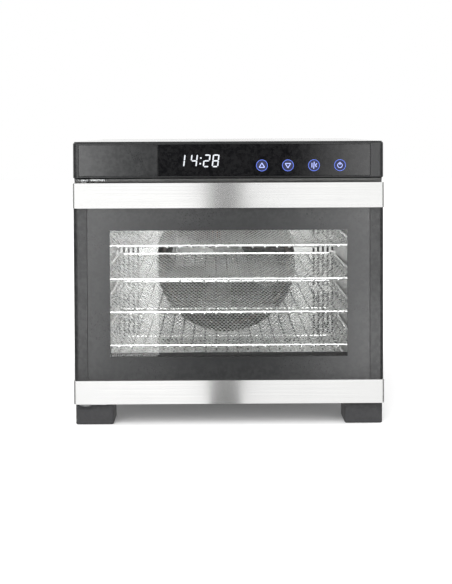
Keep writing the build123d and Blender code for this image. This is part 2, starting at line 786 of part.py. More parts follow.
# Temperature probe: an upright tube in front of the fan opening, held by a clip on the shroud
probe_y = chamber_back - sheet - probe_gap
clip_z = fan_height + (shroud_opening ** 2 - probe_offset ** 2) ** 0.5 + probe_clip[1]
with BuildPart() as temperature_probe:
    with BuildSketch(Plane.XY.offset(clip_z - probe_clip[1] / 2)):
        with Locations((-probe_offset, probe_y)):
            Circle(probe_radius)
    extrude(amount=fan_height - probe_tip_drop - clip_z + probe_clip[1] / 2)
    with BuildSketch(Plane.XY.offset(clip_z - probe_clip[1] / 2)):
        with Locations((-probe_offset, probe_y + probe_gap / 2)):
            Rectangle(probe_clip[0], probe_gap)
    extrude(amount=probe_clip[1])
temperature_probe.part.label = "temperature_probe"
export_step(temperature_probe.part, "parts/temperature_probe.step")

# ---------------------------------------------------------------------------------------------
# Control panel and its electronics
# ---------------------------------------------------------------------------------------------
fascia_mid = (fascia_bottom + height) / 2
badge_x = -width / 2 + badge_left + badge_width / 2
panel_row_width = badge_width + touch_width
panel_row_x = badge_x + touch_width / 2
panel_row_height = fascia_height - 2 * fascia_lip
pocket_back = face + fascia_panel
with BuildPart() as fascia_housing:
    with BuildSketch(Plane.XY.offset(fascia_bottom)) as housing_plan:
        rounded_front(housing_plan, width, face, cabinet_front, corner)
    extrude(amount=fascia_height)
    for end in (0, -1):
        end_face = fascia_housing.faces().sort_by(Axis.Z)[end]
        chamfer(end_face.edges().sort_by(Axis.Y)[:-1], fascia_bevel)
    with BuildSketch(across(pocket_back + fascia_wall)):
        with Locations((0, fascia_mid)):
            Rectangle(width - 2 * corner, fascia_height - 2 * fascia_wall)
    extrude(amount=pocket_back + fascia_wall - cabinet_front, mode=Mode.SUBTRACT)
    with BuildSketch(across(face)):
        with Locations((panel_row_x, fascia_mid)):
            Rectangle(panel_row_width, panel_row_height)
    extrude(amount=-fascia_panel, mode=Mode.SUBTRACT)
    with BuildSketch(across(pocket_back)):
        with Locations((fascia_window_x, fascia_mid)):
            Rectangle(fascia_window_width, fascia_window_height)
    extrude(amount=-fascia_wall, mode=Mode.SUBTRACT)
fascia_housing.part.label = "fascia_housing"
export_step(fascia_housing.part, "parts/fascia_housing.step")

fascia_panels = (("badge_panel", badge_x, badge_width), ("touch_panel", touch_panel_x, touch_width))
for panel_name, panel_x, one_width in fascia_panels:
    with BuildPart() as fascia_plate:
        with BuildSketch(across(pocket_back)):
            with Locations((panel_x, fascia_mid)):
                Rectangle(one_width - fascia_seam, panel_row_height - fascia_seam)
        extrude(amount=fascia_panel)
        chamfer(fascia_plate.faces().sort_by(Axis.Y)[0].edges(), fascia_seam / 2)
    fascia_plate.part.label = panel_name
    export_step(fascia_plate.part, f"parts/{panel_name}.step")

display_z = height - display_drop
board_front = pocket_back + display_size[1]
with BuildPart() as display_module:
    with BuildSketch(across(pocket_back)):
        with Locations((display_x, display_z)):
            Rectangle(display_size[0], display_size[2])
    extrude(amount=-display_size[1])
display_module.part.label = "display_module"
export_step(display_module.part, "parts/display_module.step")

with BuildPart() as touch_springs:
    with BuildSketch(across(pocket_back)):
        with Locations(*[(x, height - touch_drop) for x in touch_x]):
            Circle(spring_radius)
            Circle(spring_radius - spring_wire, mode=Mode.SUBTRACT)
    extrude(amount=-display_size[1])
touch_springs.part.label = "touch_springs"
export_step(touch_springs.part, "parts/touch_springs.step")

with BuildPart() as control_board:
    with BuildSketch(across(board_front)):
        with Locations((fascia_window_x, fascia_mid)):
            Rectangle(fascia_window_width - 2 * control_board_inset, control_board_height)
    extrude(amount=-board_sheet)
control_board.part.label = "control_board"
export_step(control_board.part, "parts/control_board.step")

board_blocks = ((relay_size, relay_at), (terminal_size, terminal_at))
with BuildPart() as power_board:
    with BuildSketch(Plane.XY.offset(control_floor)):
        with Locations(power_board_centre):
            Rectangle(*power_board_size)
    extrude(amount=board_sheet)
    for block_size, block_at in board_blocks:
        with BuildSketch(Plane.XY.offset(control_floor + board_sheet)):
            with Locations((power_board_centre[0] + block_at[0], power_board_centre[1] + block_at[1])):
                Rectangle(block_size[0], block_size[1])
        extrude(amount=block_size[2])
power_board.part.label = "power_board"
export_step(power_board.part, "parts/power_board.step")

with BuildPart() as board_standoffs:
    with BuildSketch(Plane.XY.offset(chamber_ceiling + sheet)):
        with Locations(power_board_centre):
            standoff_inset = 4 * standoff_radius
            board_grid = (power_board_size[0] - standoff_inset, power_board_size[1] - standoff_inset)
            with GridLocations(*board_grid, 2, 2):
                Circle(standoff_radius)
    extrude(amount=power_board_rise)
board_standoffs.part.label = "board_standoffs"
export_step(board_standoffs.part, "parts/board_standoffs.step")

transformer_x = power_board_centre[0] + transformer_at[0]
transformer_y = power_board_centre[1] + transformer_at[1]
with BuildPart() as transformer:
    with BuildSketch(Plane.XY.offset(control_floor + board_sheet)):
        with Locations((transformer_x, transformer_y)):
            Rectangle(transformer_size[0], transformer_size[1])
    extrude(amount=transformer_size[2])
    chamfer(transformer.faces().sort_by(Axis.Z)[-1].edges(), board_sheet / 2)
transformer.part.label = "transformer"
export_step(transformer.part, "parts/transformer.step")

with BuildPart() as thermal_cutout:
    with BuildSketch(Plane.XY.offset(chamber_ceiling + sheet)):
        with Locations(cutout_at):
            Circle(cutout_radius)
    extrude(amount=cutout_height)
thermal_cutout.part.label = "thermal_cutout"
export_step(thermal_cutout.part, "parts/thermal_cutout.step")

# ---------------------------------------------------------------------------------------------
# Door
# ---------------------------------------------------------------------------------------------
band_ranges = {
    "lower_band": (door_bottom, panel_bottom),
    "upper_band": (panel_top, door_top),
}
bushing_ends = (door_bottom, door_top - bushing_length)

for band_name, (band_bottom, band_top) in band_ranges.items():
    with BuildPart() as band:
        with BuildSketch(Plane.XY.offset(band_bottom)) as band_plan:
            rounded_front(band_plan, width, band_face, band_back, corner)
        extrude(amount=band_top - band_bottom)
        with BuildSketch(Plane.XY.offset(band_bottom + sheet)) as hollow_plan:
            inner_front = band_face + sheet
            rounded_front(hollow_plan, case_inner_width, inner_front, band_back, corner - sheet)
        extrude(amount=band_top - band_bottom - 2 * sheet, mode=Mode.SUBTRACT)
        bushing_z = door_bottom if band_bottom == door_bottom else door_top
        with BuildSketch(Plane.XY.offset(bushing_z)):
            with Locations((hinge_x, hinge_y)):
                Circle(bushing_radius)
                notch_align = (Align.CENTER, Align.MIN)
                Rectangle(2 * bushing_radius, depth, align=notch_align)
        extrude(amount=2 * sheet, both=True, mode=Mode.SUBTRACT)
    band.part.label = band_name
    export_step(band.part, f"parts/{band_name}.step")

liner_window_width = window_width + 2 * frame_window_step
liner_window_bottom = panel_bottom + window_margin + sill_step
liner_window_top = panel_top - window_margin + frame_window_step
with BuildPart() as door_frame:
    with BuildSketch(Plane.XY.offset(door_bottom + sheet)) as frame_plan:
        rounded_front(frame_plan, width, face, liner_back_face, corner)
        fillet(frame_plan.vertices().group_by(Axis.Y)[-1], door_back_corner)
    extrude(amount=door_top - door_bottom - 2 * sheet)
    with BuildSketch(Plane.XY.offset(door_bottom)):
        with Locations((0, (frame_back + liner_back_face) / 2)):
            Rectangle(width, door_liner_sheet)
    extrude(amount=door_top - door_bottom, mode=Mode.SUBTRACT)
    for band_bottom, band_top in band_ranges.values():
        with BuildSketch(Plane.XY.offset(band_bottom)):
            with Locations((0, (band_face + band_back) / 2)):
                Rectangle(width, band_back - band_face)
        extrude(amount=band_top - band_bottom, mode=Mode.SUBTRACT)
        with BuildSketch(Plane.XY.offset(band_bottom + sheet)) as filling_plan:
            inner_front = band_face + sheet
            rounded_front(filling_plan, case_inner_width, inner_front, band_back, corner - sheet)
        extrude(amount=band_top - band_bottom - 2 * sheet)
    with BuildSketch(across(face)):
        with Locations((0, panel_mid)):
            Rectangle(panel_width, panel_top - panel_bottom)
    extrude(amount=-panel_thickness, mode=Mode.SUBTRACT)
    with BuildSketch(across(face)):
        with Locations((0, panel_mid)):
            glass_rebate = 2 * (glass_overlap + glass_clearance)
            Rectangle(window_width + glass_rebate, window_height + glass_rebate)
    extrude(amount=-panel_thickness - glass_thickness, mode=Mode.SUBTRACT)
    with BuildSketch(across(face)):
        with Locations((0, panel_mid)):
            Rectangle(window_width + 2 * frame_window_step, window_height + 2 * frame_window_step)
    extrude(amount=-door_core, mode=Mode.SUBTRACT)
    for bushing_z in bushing_ends:
        with BuildSketch(Plane.XY.offset(bushing_z)):
            with Locations((hinge_x, hinge_y)):
                Circle(bushing_radius)
        extrude(amount=bushing_length, mode=Mode.SUBTRACT)
    magnet_x = width / 2 - magnet_inset - magnet_size[0] / 2
    with Locations((magnet_x, frame_back - magnet_size[1] / 2, panel_mid)):
        Box(*magnet_size, mode=Mode.SUBTRACT)
door_frame.part.label = "door_frame"
export_step(door_frame.part, "parts/door_frame.step")

with BuildPart() as door_panel:
    with BuildSketch(across(face + panel_thickness)):
        with Locations((0, panel_mid)):
            Rectangle(panel_width - 2 * panel_seam, panel_top - panel_bottom)
            Rectangle(window_width, window_height, mode=Mode.SUBTRACT)
    extrude(amount=panel_thickness)
door_panel.part.label = "door_panel"
export_step(door_panel.part, "parts/door_panel.step")

with BuildPart() as window_glass:
    with BuildSketch(across(face + panel_thickness)):
        with Locations((0, panel_mid)):
            Rectangle(window_width + 2 * glass_overlap, window_height + 2 * glass_overlap)
    extrude(amount=-glass_thickness)
window_glass.part.label = "window_glass"
export_step(window_glass.part, "parts/window_glass.step")

with BuildPart() as door_liner:
    with BuildSketch(across(frame_back)):
        with Locations((0, (door_bottom + door_top) / 2)):
            Rectangle(width - 2 * liner_inset, door_top - door_bottom - 2 * liner_edge)
        with Locations((0, (liner_window_bottom + liner_window_top) / 2)):
            liner_window_height = liner_window_top - liner_window_bottom
            Rectangle(liner_window_width, liner_window_height, mode=Mode.SUBTRACT)
    extrude(amount=-door_liner_sheet)
door_liner.part.label = "door_liner"
export_step(door_liner.part, "parts/door_liner.step")

gasket_inner_width = mouth_width + 2 * gasket_offset
gasket_inner_height = mouth_height + 2 * gasket_offset
with BuildPart() as door_gasket:
    with BuildSketch(across(liner_back_face)) as gasket_plan:
        with Locations((0, mouth_mid)):
            RectangleRounded(
                gasket_inner_width + 2 * gasket_width,
                gasket_inner_height + 2 * gasket_width,
                gasket_width,
            )
            Rectangle(gasket_inner_width, gasket_inner_height, mode=Mode.SUBTRACT)
    extrude(amount=seal_clearance - seal_gap)
door_gasket.part.label = "door_gasket"
export_step(door_gasket.part, "parts/door_gasket.step")

with BuildPart() as door_magnet:
    with Locations((magnet_x, frame_back - magnet_size[1] / 2, panel_mid)):
        Box(*magnet_size)
door_magnet.part.label = "door_magnet"
export_step(door_magnet.part, "parts/door_magnet.step")

with BuildPart() as catch_plate:
    with Locations((magnet_x, cabinet_front - catch_sheet / 2, panel_mid)):
        Box(magnet_size[0], catch_sheet, magnet_size[2])
catch_plate.part.label = "catch_plate"
export_step(catch_plate.part, "parts/catch_plate.step")

# Hinge: two welded plates, a pin in each, and a nylon bushing in each end of the door
with BuildPart() as hinge_bushings:
    for bushing_z in bushing_ends:
        with BuildSketch(Plane.XY.offset(bushing_z)):
            with Locations((hinge_x, hinge_y)):
                Circle(bushing_radius)
                Circle(pin_radius + pin_clearance, mode=Mode.SUBTRACT)
        extrude(amount=bushing_length)
hinge_bushings.part.label = "hinge_bushings"
export_step(hinge_bushings.part, "parts/hinge_bushings.step")

plate_levels = (foot_height, fascia_bottom - hinge_plate)
plate_front = hinge_y - hinge_plate_reach
with BuildPart() as hinge_plates:
    for plate_z in plate_levels:
        with BuildSketch(Plane.XY.offset(plate_z)):
            with Locations((hinge_x, hinge_y)):
                Circle(hinge_plate_reach)
                Rectangle(
                    hinge_plate_reach + hinge_plate_inner,
                    cabinet_front - hinge_y,
                    align=(Align.MIN, Align.MIN),
                )
                with Locations((-hinge_plate_reach, 0)):
                    Rectangle(hinge_plate_reach, cabinet_front - hinge_y, align=Align.MIN)
                Circle(pin_radius, mode=Mode.SUBTRACT)
        extrude(amount=hinge_plate)
hinge_plates.part.label = "hinge_plates"
export_step(hinge_plates.part, "parts/hinge_plates.step")

pin_ranges = (
    (foot_height, door_bottom + bushing_length),
    (door_top - bushing_length, fascia_bottom),
)
with BuildPart() as hinge_pins:
    for pin_bottom, pin_top in pin_ranges:
        with BuildSketch(Plane.XY.offset(pin_bottom)):
            with Locations((hinge_x, hinge_y)):
                Circle(pin_radius)
        extrude(amount=pin_top - pin_bottom)
hinge_pins.part.label = "hinge_pins"
export_step(hinge_pins.part, "parts/hinge_pins.step")
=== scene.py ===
import logging
import math
from collections.abc import Sequence
from dataclasses import dataclass, field
from enum import Enum, auto
from typing import Any

import bpy
import numpy as np
from mathutils import Euler, Matrix, Vector


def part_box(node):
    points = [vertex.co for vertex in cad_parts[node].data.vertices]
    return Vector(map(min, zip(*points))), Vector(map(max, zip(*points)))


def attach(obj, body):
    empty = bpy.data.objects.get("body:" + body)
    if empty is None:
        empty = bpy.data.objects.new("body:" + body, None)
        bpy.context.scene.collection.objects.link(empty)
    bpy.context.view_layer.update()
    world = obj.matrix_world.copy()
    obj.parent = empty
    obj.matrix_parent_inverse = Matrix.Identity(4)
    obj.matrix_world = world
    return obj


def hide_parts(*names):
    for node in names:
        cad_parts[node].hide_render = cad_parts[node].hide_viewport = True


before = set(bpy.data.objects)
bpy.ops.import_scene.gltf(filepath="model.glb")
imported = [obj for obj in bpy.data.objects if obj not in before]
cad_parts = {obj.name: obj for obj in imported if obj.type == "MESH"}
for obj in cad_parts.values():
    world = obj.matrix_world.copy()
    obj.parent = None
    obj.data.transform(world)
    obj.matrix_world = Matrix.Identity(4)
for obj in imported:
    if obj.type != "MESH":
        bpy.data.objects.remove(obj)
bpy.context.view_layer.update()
MM = 0.001

Colour = tuple[float, float, float]
Triple = tuple[float, float, float]
logging.basicConfig(level=logging.INFO, format="%(message)s")
log = logging.getLogger("dehydrator")


class Axis(Enum):
    """The axis that a radial tangent turns around."""

    Z = "Z"


class Pattern(Enum):
    """What a finish is made of at close range."""

    GRAIN = "grain"
    STRIPES = "stripes"
    TRACKS = "tracks"


class NodeWriter:
    """Adds linked nodes to one node tree.

    Args:
        tree: The tree that is written to.
    """

    def __init__(self, tree: bpy.types.NodeTree) -> None:
        """Keeps the tree.

        Args:
            tree: The tree that is written to.
        """
        self.tree = tree

    def add(self, kind: str, inputs: dict[Any, Any] | None = None, **settings: Any) -> bpy.types.Node:
        """Adds a node, sets it up and fills its inputs.

        Args:
            kind: The node's type name.
            inputs: A socket to link or a constant for each input, by name or index.
            settings: Properties of the node.

        Returns:
            The new node.
        """
        node = self.tree.nodes.new(kind)
        for name, value in settings.items():
            setattr(node, name, value)
        for key, value in (inputs or {}).items():
            if isinstance(value, bpy.types.NodeSocket):
                self.tree.links.new(value, node.inputs[key])
            else:
                node.inputs[key].default_value = value
        return node

    def maths(
        self, operation: str, first: Any, second: Any = 0.0, clamp: bool = False
    ) -> bpy.types.NodeSocket:
        """Adds a maths node.

        Args:
            operation: The operation's name.
            first: The first value or socket.
            second: The second value or socket.
            clamp: Whether the result is kept between 0 and 1.

        Returns:
            The result's socket.
        """
        node = self.add("ShaderNodeMath", {0: first, 1: second}, operation=operation, use_clamp=clamp)
        return node.outputs[0]

    def remap(self, value: Any, low: float, high: float, to_low: float = 0.0, to_high: float = 1.0) -> Any:
        """Maps a range of a value smoothly onto another range.

        Args:
            value: The socket that is mapped.
            low: The start of the range.
            high: The end of the range.
            to_low: What the start becomes.
            to_high: What the end becomes.

        Returns:
            The result's socket.
        """
        inputs = {"Value": value, "From Min": low, "From Max": high, "To Min": to_low, "To Max": to_high}
        node = self.add("ShaderNodeMapRange", inputs, interpolation_type="SMOOTHSTEP")
        return node.outputs["Result"]

    def mix(self, factor: Any, first: Any, second: Any) -> bpy.types.NodeSocket:
        """Mixes two colours.

        Args:
            factor: How much of the second colour shows.
            first: The first colour, as a socket or four numbers.
            second: The second colour.

        Returns:
            The mixed colour's socket.
        """
        node = self.add("ShaderNodeMix", {0: factor, 6: first, 7: second}, data_type="RGBA")
        return node.outputs[2]


def solid(colour: Colour) -> tuple[float, float, float, float]:
    """Adds a full alpha to a colour.

    Args:
        colour: Red, green and blue.

    Returns:
        The colour with its alpha.
    """
    return (*colour, 1.0)


class ShaderGroups:
    """The shared effects, each one node group with named inputs, built once."""

    def __init__(self) -> None:
        """Builds every group."""
        self.grain = self._grain()
        self.stripes = self._stripes()
        self.tracks = self._tracks()
        self.smudges = self._smudges()
        self.wear = self._wear()
        self.dust = self._dust()
        self.surface = self._surface()

    @staticmethod
    def _open(name: str, inputs: Sequence[tuple[str, str, Any]], outputs: Sequence[tuple[str, str]]) -> tuple:
        """Starts a group with its sockets.

        Args:
            name: The group's name.
            inputs: Name, socket type and default of each input.
            outputs: Name and socket type of each output.

        Returns:
            The group, its writer, its input node and its output node.
        """
        tree = bpy.data.node_groups.new(name, "ShaderNodeTree")
        for label, kind, default in inputs:
            socket = tree.interface.new_socket(name=label, in_out="INPUT", socket_type=kind)
            socket.default_value = default
        for label, kind in outputs:
            tree.interface.new_socket(name=label, in_out="OUTPUT", socket_type=kind)
        writer = NodeWriter(tree)
        return tree, writer, writer.add("NodeGroupInput"), writer.add("NodeGroupOutput")

    def _grain(self) -> bpy.types.NodeTree:
        """Noise with its own frequency on each axis: fine grain, or brushing where one is low.

        Returns:
            The group.
        """
        tree, w, given, out = self._open(
            "Grain",
            [("Frequency", "NodeSocketVector", (400.0, 400.0, 400.0))],
            [("Value", "NodeSocketFloat")],
        )
        place = w.add("ShaderNodeTexCoord").outputs["Object"]
        scaled = w.add(
            "ShaderNodeVectorMath", {0: place, 1: given.outputs["Frequency"]}, operation="MULTIPLY"
        )
        noise = w.add("ShaderNodeTexNoise", {"Vector": scaled.outputs[0], "Scale": 1.0, "Detail": 3.0})
        tree.links.new(w.remap(noise.outputs["Fac"], 0.28, 0.72), out.inputs["Value"])
        return tree

    def _stripes(self) -> bpy.types.NodeTree:
        """Even stripes across one direction, for stacked sheets and windings.

        Returns:
            The group.
        """
        tree, w, given, out = self._open(
            "Stripes",
            [("Frequency", "NodeSocketVector", (0.0, 0.0, 900.0))],
            [("Value", "NodeSocketFloat")],
        )
        place = w.add("ShaderNodeTexCoord").outputs["Object"]
        along = w.add(
            "ShaderNodeVectorMath", {0: place, 1: given.outputs["Frequency"]}, operation="DOT_PRODUCT"
        )
        turn = w.maths("MULTIPLY", along.outputs["Value"], math.tau)
        wave = w.maths("SINE", turn)
        tree.links.new(w.remap(wave, -0.7, 0.7), out.inputs["Value"])
        return tree

    def _tracks(self) -> bpy.types.NodeTree:
        """Square-cornered cells of lighter and darker lacquer over copper.

        Returns:
            The group.
        """
        tree, w, given, out = self._open(
            "Tracks",
            [("Frequency", "NodeSocketVector", (300.0, 300.0, 300.0))],
            [("Value", "NodeSocketFloat")],
        )
        place = w.add("ShaderNodeTexCoord").outputs["Object"]
        scaled = w.add(
            "ShaderNodeVectorMath", {0: place, 1: given.outputs["Frequency"]}, operation="MULTIPLY"
        )
        cells = w.add(
            "ShaderNodeTexVoronoi",
            {"Vector": scaled.outputs[0], "Scale": 1.0},
            distance="CHEBYCHEV",
            feature="F1",
        )
        tree.links.new(w.remap(cells.outputs["Distance"], 0.30, 0.38), out.inputs["Value"])
        return tree

    def _smudges(self) -> bpy.types.NodeTree:
        """Large soft patches, for uneven gloss and tone.

        Returns:
            The group.
        """
        tree, w, given, out = self._open(
            "Smudges", [("Frequency", "NodeSocketFloat", 14.0)], [("Value", "NodeSocketFloat")]
        )
        place = w.add("ShaderNodeTexCoord").outputs["Object"]
        noise = w.add(
            "ShaderNodeTexNoise",
            {"Vector": place, "Scale": given.outputs["Frequency"], "Detail": 2.0, "Distortion": 0.6},
        )
        tree.links.new(w.remap(noise.outputs["Fac"], 0.3, 0.7), out.inputs["Value"])
        return tree

    def _wear(self) -> bpy.types.NodeTree:
        """A broken mask along convex edges, where a coating is rubbed.

        Returns:
            The group.
        """
        tree, w, given, out = self._open(
            "Edge wear", [("Amount", "NodeSocketFloat", 0.3)], [("Mask", "NodeSocketFloat")]
        )
        edge = w.add("ShaderNodeNewGeometry").outputs["Pointiness"]
        place = w.add("ShaderNodeTexCoord").outputs["Object"]
        noise = w.add("ShaderNodeTexNoise", {"Vector": place, "Scale": 260.0, "Detail": 3.0})
        sharp = w.remap(edge, 0.52, 0.60)
        broken = w.maths("MULTIPLY", sharp, w.remap(noise.outputs["Fac"], 0.35, 0.65))
        mask = w.maths("MULTIPLY", broken, given.outputs["Amount"], clamp=True)
        tree.links.new(mask, out.inputs["Mask"])
        return tree

    def _dust(self) -> bpy.types.NodeTree:
        """A thin speckled mask on faces that look up.

        Returns:
            The group.
        """
        tree, w, given, out = self._open(
            "Dust", [("Amount", "NodeSocketFloat", 0.1)], [("Mask", "NodeSocketFloat")]
        )
        facing = w.add("ShaderNodeSeparateXYZ", {0: w.add("ShaderNodeNewGeometry").outputs["Normal"]})
        place = w.add("ShaderNodeTexCoord").outputs["Object"]
        noise = w.add("ShaderNodeTexNoise", {"Vector": place, "Scale": 900.0, "Detail": 2.0})
        up = w.remap(facing.outputs["Z"], 0.6, 1.0)
        speckled = w.maths("MULTIPLY", up, w.remap(noise.outputs["Fac"], 0.4, 0.8))
        mask = w.maths("MULTIPLY", speckled, given.outputs["Amount"], clamp=True)
        tree.links.new(mask, out.inputs["Mask"])
        return tree

    def _surface(self) -> bpy.types.NodeTree:
        """Brings a pattern, smudges, wear and dust together into colour, roughness and normal.

        Returns:
            The group.
        """
        tree, w, given, out = self._open(
            "Surface",
            [
                ("Pattern", "NodeSocketFloat", 0.5),
                ("Base", "NodeSocketColor", (0.5, 0.5, 0.5, 1.0)),
                ("Second", "NodeSocketColor", (0.4, 0.4, 0.4, 1.0)),
                ("Worn", "NodeSocketColor", (0.6, 0.6, 0.6, 1.0)),
                ("Smooth", "NodeSocketFloat", 0.3),
                ("Rough", "NodeSocketFloat", 0.4),
                ("Wear", "NodeSocketFloat", 0.2),
                ("Dust", "NodeSocketFloat", 0.1),
                ("Bump", "NodeSocketFloat", 0.2),
                ("Depth", "NodeSocketFloat", 0.00005),
            ],
            [("Color", "NodeSocketColor"), ("Roughness", "NodeSocketFloat"), ("Normal", "NodeSocketVector")],
        )
        pattern = given.outputs["Pattern"]
        smudge = w.add("ShaderNodeGroup", {"Frequency": 14.0}, node_tree=self.smudges).outputs[0]
        worn = w.add("ShaderNodeGroup", {"Amount": given.outputs["Wear"]}, node_tree=self.wear)
        dusty = w.add("ShaderNodeGroup", {"Amount": given.outputs["Dust"]}, node_tree=self.dust)
        blend = w.maths("ADD", w.maths("MULTIPLY", pattern, 0.75), w.maths("MULTIPLY", smudge, 0.25))
        tone = w.mix(blend, given.outputs["Base"], given.outputs["Second"])
        rubbed = w.mix(worn.outputs[0], tone, given.outputs["Worn"])
        settled = w.mix(dusty.outputs[0], rubbed, (0.46, 0.45, 0.43, 1.0))
        gloss = w.add(
            "ShaderNodeMix",
            {0: blend, 2: given.outputs["Smooth"], 3: given.outputs["Rough"]},
            data_type="FLOAT",
        )
        powdery = w.maths("ADD", gloss.outputs[0], w.maths("MULTIPLY", dusty.outputs[0], 0.3), clamp=True)
        bump = w.add(
            "ShaderNodeBump",
            {"Height": pattern, "Strength": given.outputs["Bump"], "Distance": given.outputs["Depth"]},
        )
        tree.links.new(settled, out.inputs["Color"])
        tree.links.new(powdery, out.inputs["Roughness"])
        tree.links.new(bump.outputs[0], out.inputs["Normal"])
        return tree


@dataclass(frozen=True)
class Finish:
    """One material, described by its colours, gloss and close-range pattern.

    Args:
        name: The material's name.
        base: The main colour.
        second: The colour that the pattern and smudges bring in.
        smooth: The lowest roughness.
        rough: The highest roughness.
        metallic: 1 for bare metal, else 0.
        pattern: What the surface is made of at close range.
        frequency: The pattern's cycles per metre on each axis.
        bump: How strong the pattern stands out.
        depth: How deep the pattern is, in metres.
        worn: The colour of rubbed edges.
        wear: How much of the edges is rubbed.
        dust: How much dust lies on upward faces.
        coat: The weight of a clear coat.
        sheen: The weight of a soft sheen.
        anisotropic: How far highlights stretch across the brushing.
        specular: The strength of the surface reflection.
        tangent: The direction that highlights stretch across, if any.
    """

    name: str
    base: Colour
    second: Colour
    smooth: float = 0.3
    rough: float = 0.45
    metallic: float = 0.0
    pattern: Pattern = Pattern.GRAIN
    frequency: Triple = (900.0, 900.0, 900.0)
    bump: float = 0.25
    depth: float = 0.00005
    worn: Colour = (0.5, 0.5, 0.5)
    wear: float = 0.15
    dust: float = 0.06
    coat: float = 0.0
    sheen: float = 0.0
    anisotropic: float = 0.0
    specular: float = 0.5
    tangent: Axis | None = None

    def build(self, groups: ShaderGroups) -> bpy.types.Material:
        """Makes the material.

        Args:
            groups: The shared effects.

        Returns:
            The material.
        """
        material = bpy.data.materials.new(self.name)
        material.use_nodes = True
        material.node_tree.nodes.clear()
        w = NodeWriter(material.node_tree)
        trees = {
            Pattern.GRAIN: groups.grain,
            Pattern.STRIPES: groups.stripes,
            Pattern.TRACKS: groups.tracks,
        }
        pattern = w.add("ShaderNodeGroup", {"Frequency": self.frequency}, node_tree=trees[self.pattern])
        surface = w.add(
            "ShaderNodeGroup",
            {
                "Pattern": pattern.outputs[0],
                "Base": solid(self.base),
                "Second": solid(self.second),
                "Worn": solid(self.worn),
                "Smooth": self.smooth,
                "Rough": self.rough,
                "Wear": self.wear,
                "Dust": self.dust,
                "Bump": self.bump,
                "Depth": self.depth,
            },
            node_tree=groups.surface,
        )
        shader = w.add(
            "ShaderNodeBsdfPrincipled",
            {
                "Base Color": surface.outputs["Color"],
                "Roughness": surface.outputs["Roughness"],
                "Normal": surface.outputs["Normal"],
                "Metallic": self.metallic,
                "Coat Weight": self.coat,
                "Coat Roughness": 0.08,
                "Sheen Weight": self.sheen,
                "Anisotropic": self.anisotropic,
                "Anisotropic Rotation": 0.25 if self.tangent else 0.0,
                "Specular IOR Level": self.specular,
            },
        )
        if self.tangent is not None:
            tangent = w.add("ShaderNodeTangent", direction_type="RADIAL", axis=self.tangent.value)
            material.node_tree.links.new(tangent.outputs[0], shader.inputs["Tangent"])
        w.add("ShaderNodeOutputMaterial", {"Surface": shader.outputs[0]})
        return material


@dataclass(frozen=True)
class ClearGlass:
    """Clear tempered glass with a faint green tint and barely uneven tone.

    Args:
        name: The material's name.
        tint: The colour in the clear.
        film: The colour where the surface is a little dull.
    """

    name: str = "window_glass_clear"
    tint: Colour = (0.985, 0.995, 0.99)
    film: Colour = (0.96, 0.975, 0.97)

    def build(self, groups: ShaderGroups) -> bpy.types.Material:
        """Makes the material.

        Args:
            groups: The shared effects.

        Returns:
            The material.
        """
        material = bpy.data.materials.new(self.name)
        material.use_nodes = True
        material.node_tree.nodes.clear()
        w = NodeWriter(material.node_tree)
        smudge = w.add("ShaderNodeGroup", {"Frequency": 9.0}, node_tree=groups.smudges).outputs[0]
        shader = w.add(
            "ShaderNodeBsdfPrincipled",
            {
                "Base Color": w.mix(smudge, solid(self.tint), solid(self.film)),
                "Metallic": 0.0,
                "Transmission Weight": 1.0,
                "Roughness": 0.0,
                "IOR": 1.5,
            },
        )
        w.add("ShaderNodeOutputMaterial", {"Surface": shader.outputs[0]})
        return material


@dataclass(frozen=True)
class Glow:
    """A lit mark behind a dark panel, brighter in its middle tones.

    Args:
        name: The material's name.
        colour: The light's colour.
        strength: The light's strength.
        body: The colour that shows when it is off.
    """

    name: str
    colour: Colour
    strength: float
    body: Colour = (0.02, 0.02, 0.03)

    def build(self, groups: ShaderGroups) -> bpy.types.Material:
        """Makes the material.

        Args:
            groups: The shared effects.

        Returns:
            The material.
        """
        material = bpy.data.materials.new(self.name)
        material.use_nodes = True
        material.node_tree.nodes.clear()
        w = NodeWriter(material.node_tree)
        grain = w.add("ShaderNodeGroup", {"Frequency": (500.0, 500.0, 500.0)}, node_tree=groups.grain)
        dimmer = tuple(0.82 * c for c in self.colour)
        shader = w.add(
            "ShaderNodeBsdfPrincipled",
            {
                "Base Color": w.mix(grain.outputs[0], solid(self.body), solid(self.body)),
                "Emission Color": w.mix(grain.outputs[0], solid(self.colour), solid(dimmer)),
                "Emission Strength": self.strength,
                "Roughness": 0.3,
            },
        )
        w.add("ShaderNodeOutputMaterial", {"Surface": shader.outputs[0]})
        return material


STEEL_WORN: Colour = (0.78, 0.78, 0.77)
BRUSHED_ALONG_X: Triple = (6.0, 2600.0, 2600.0)

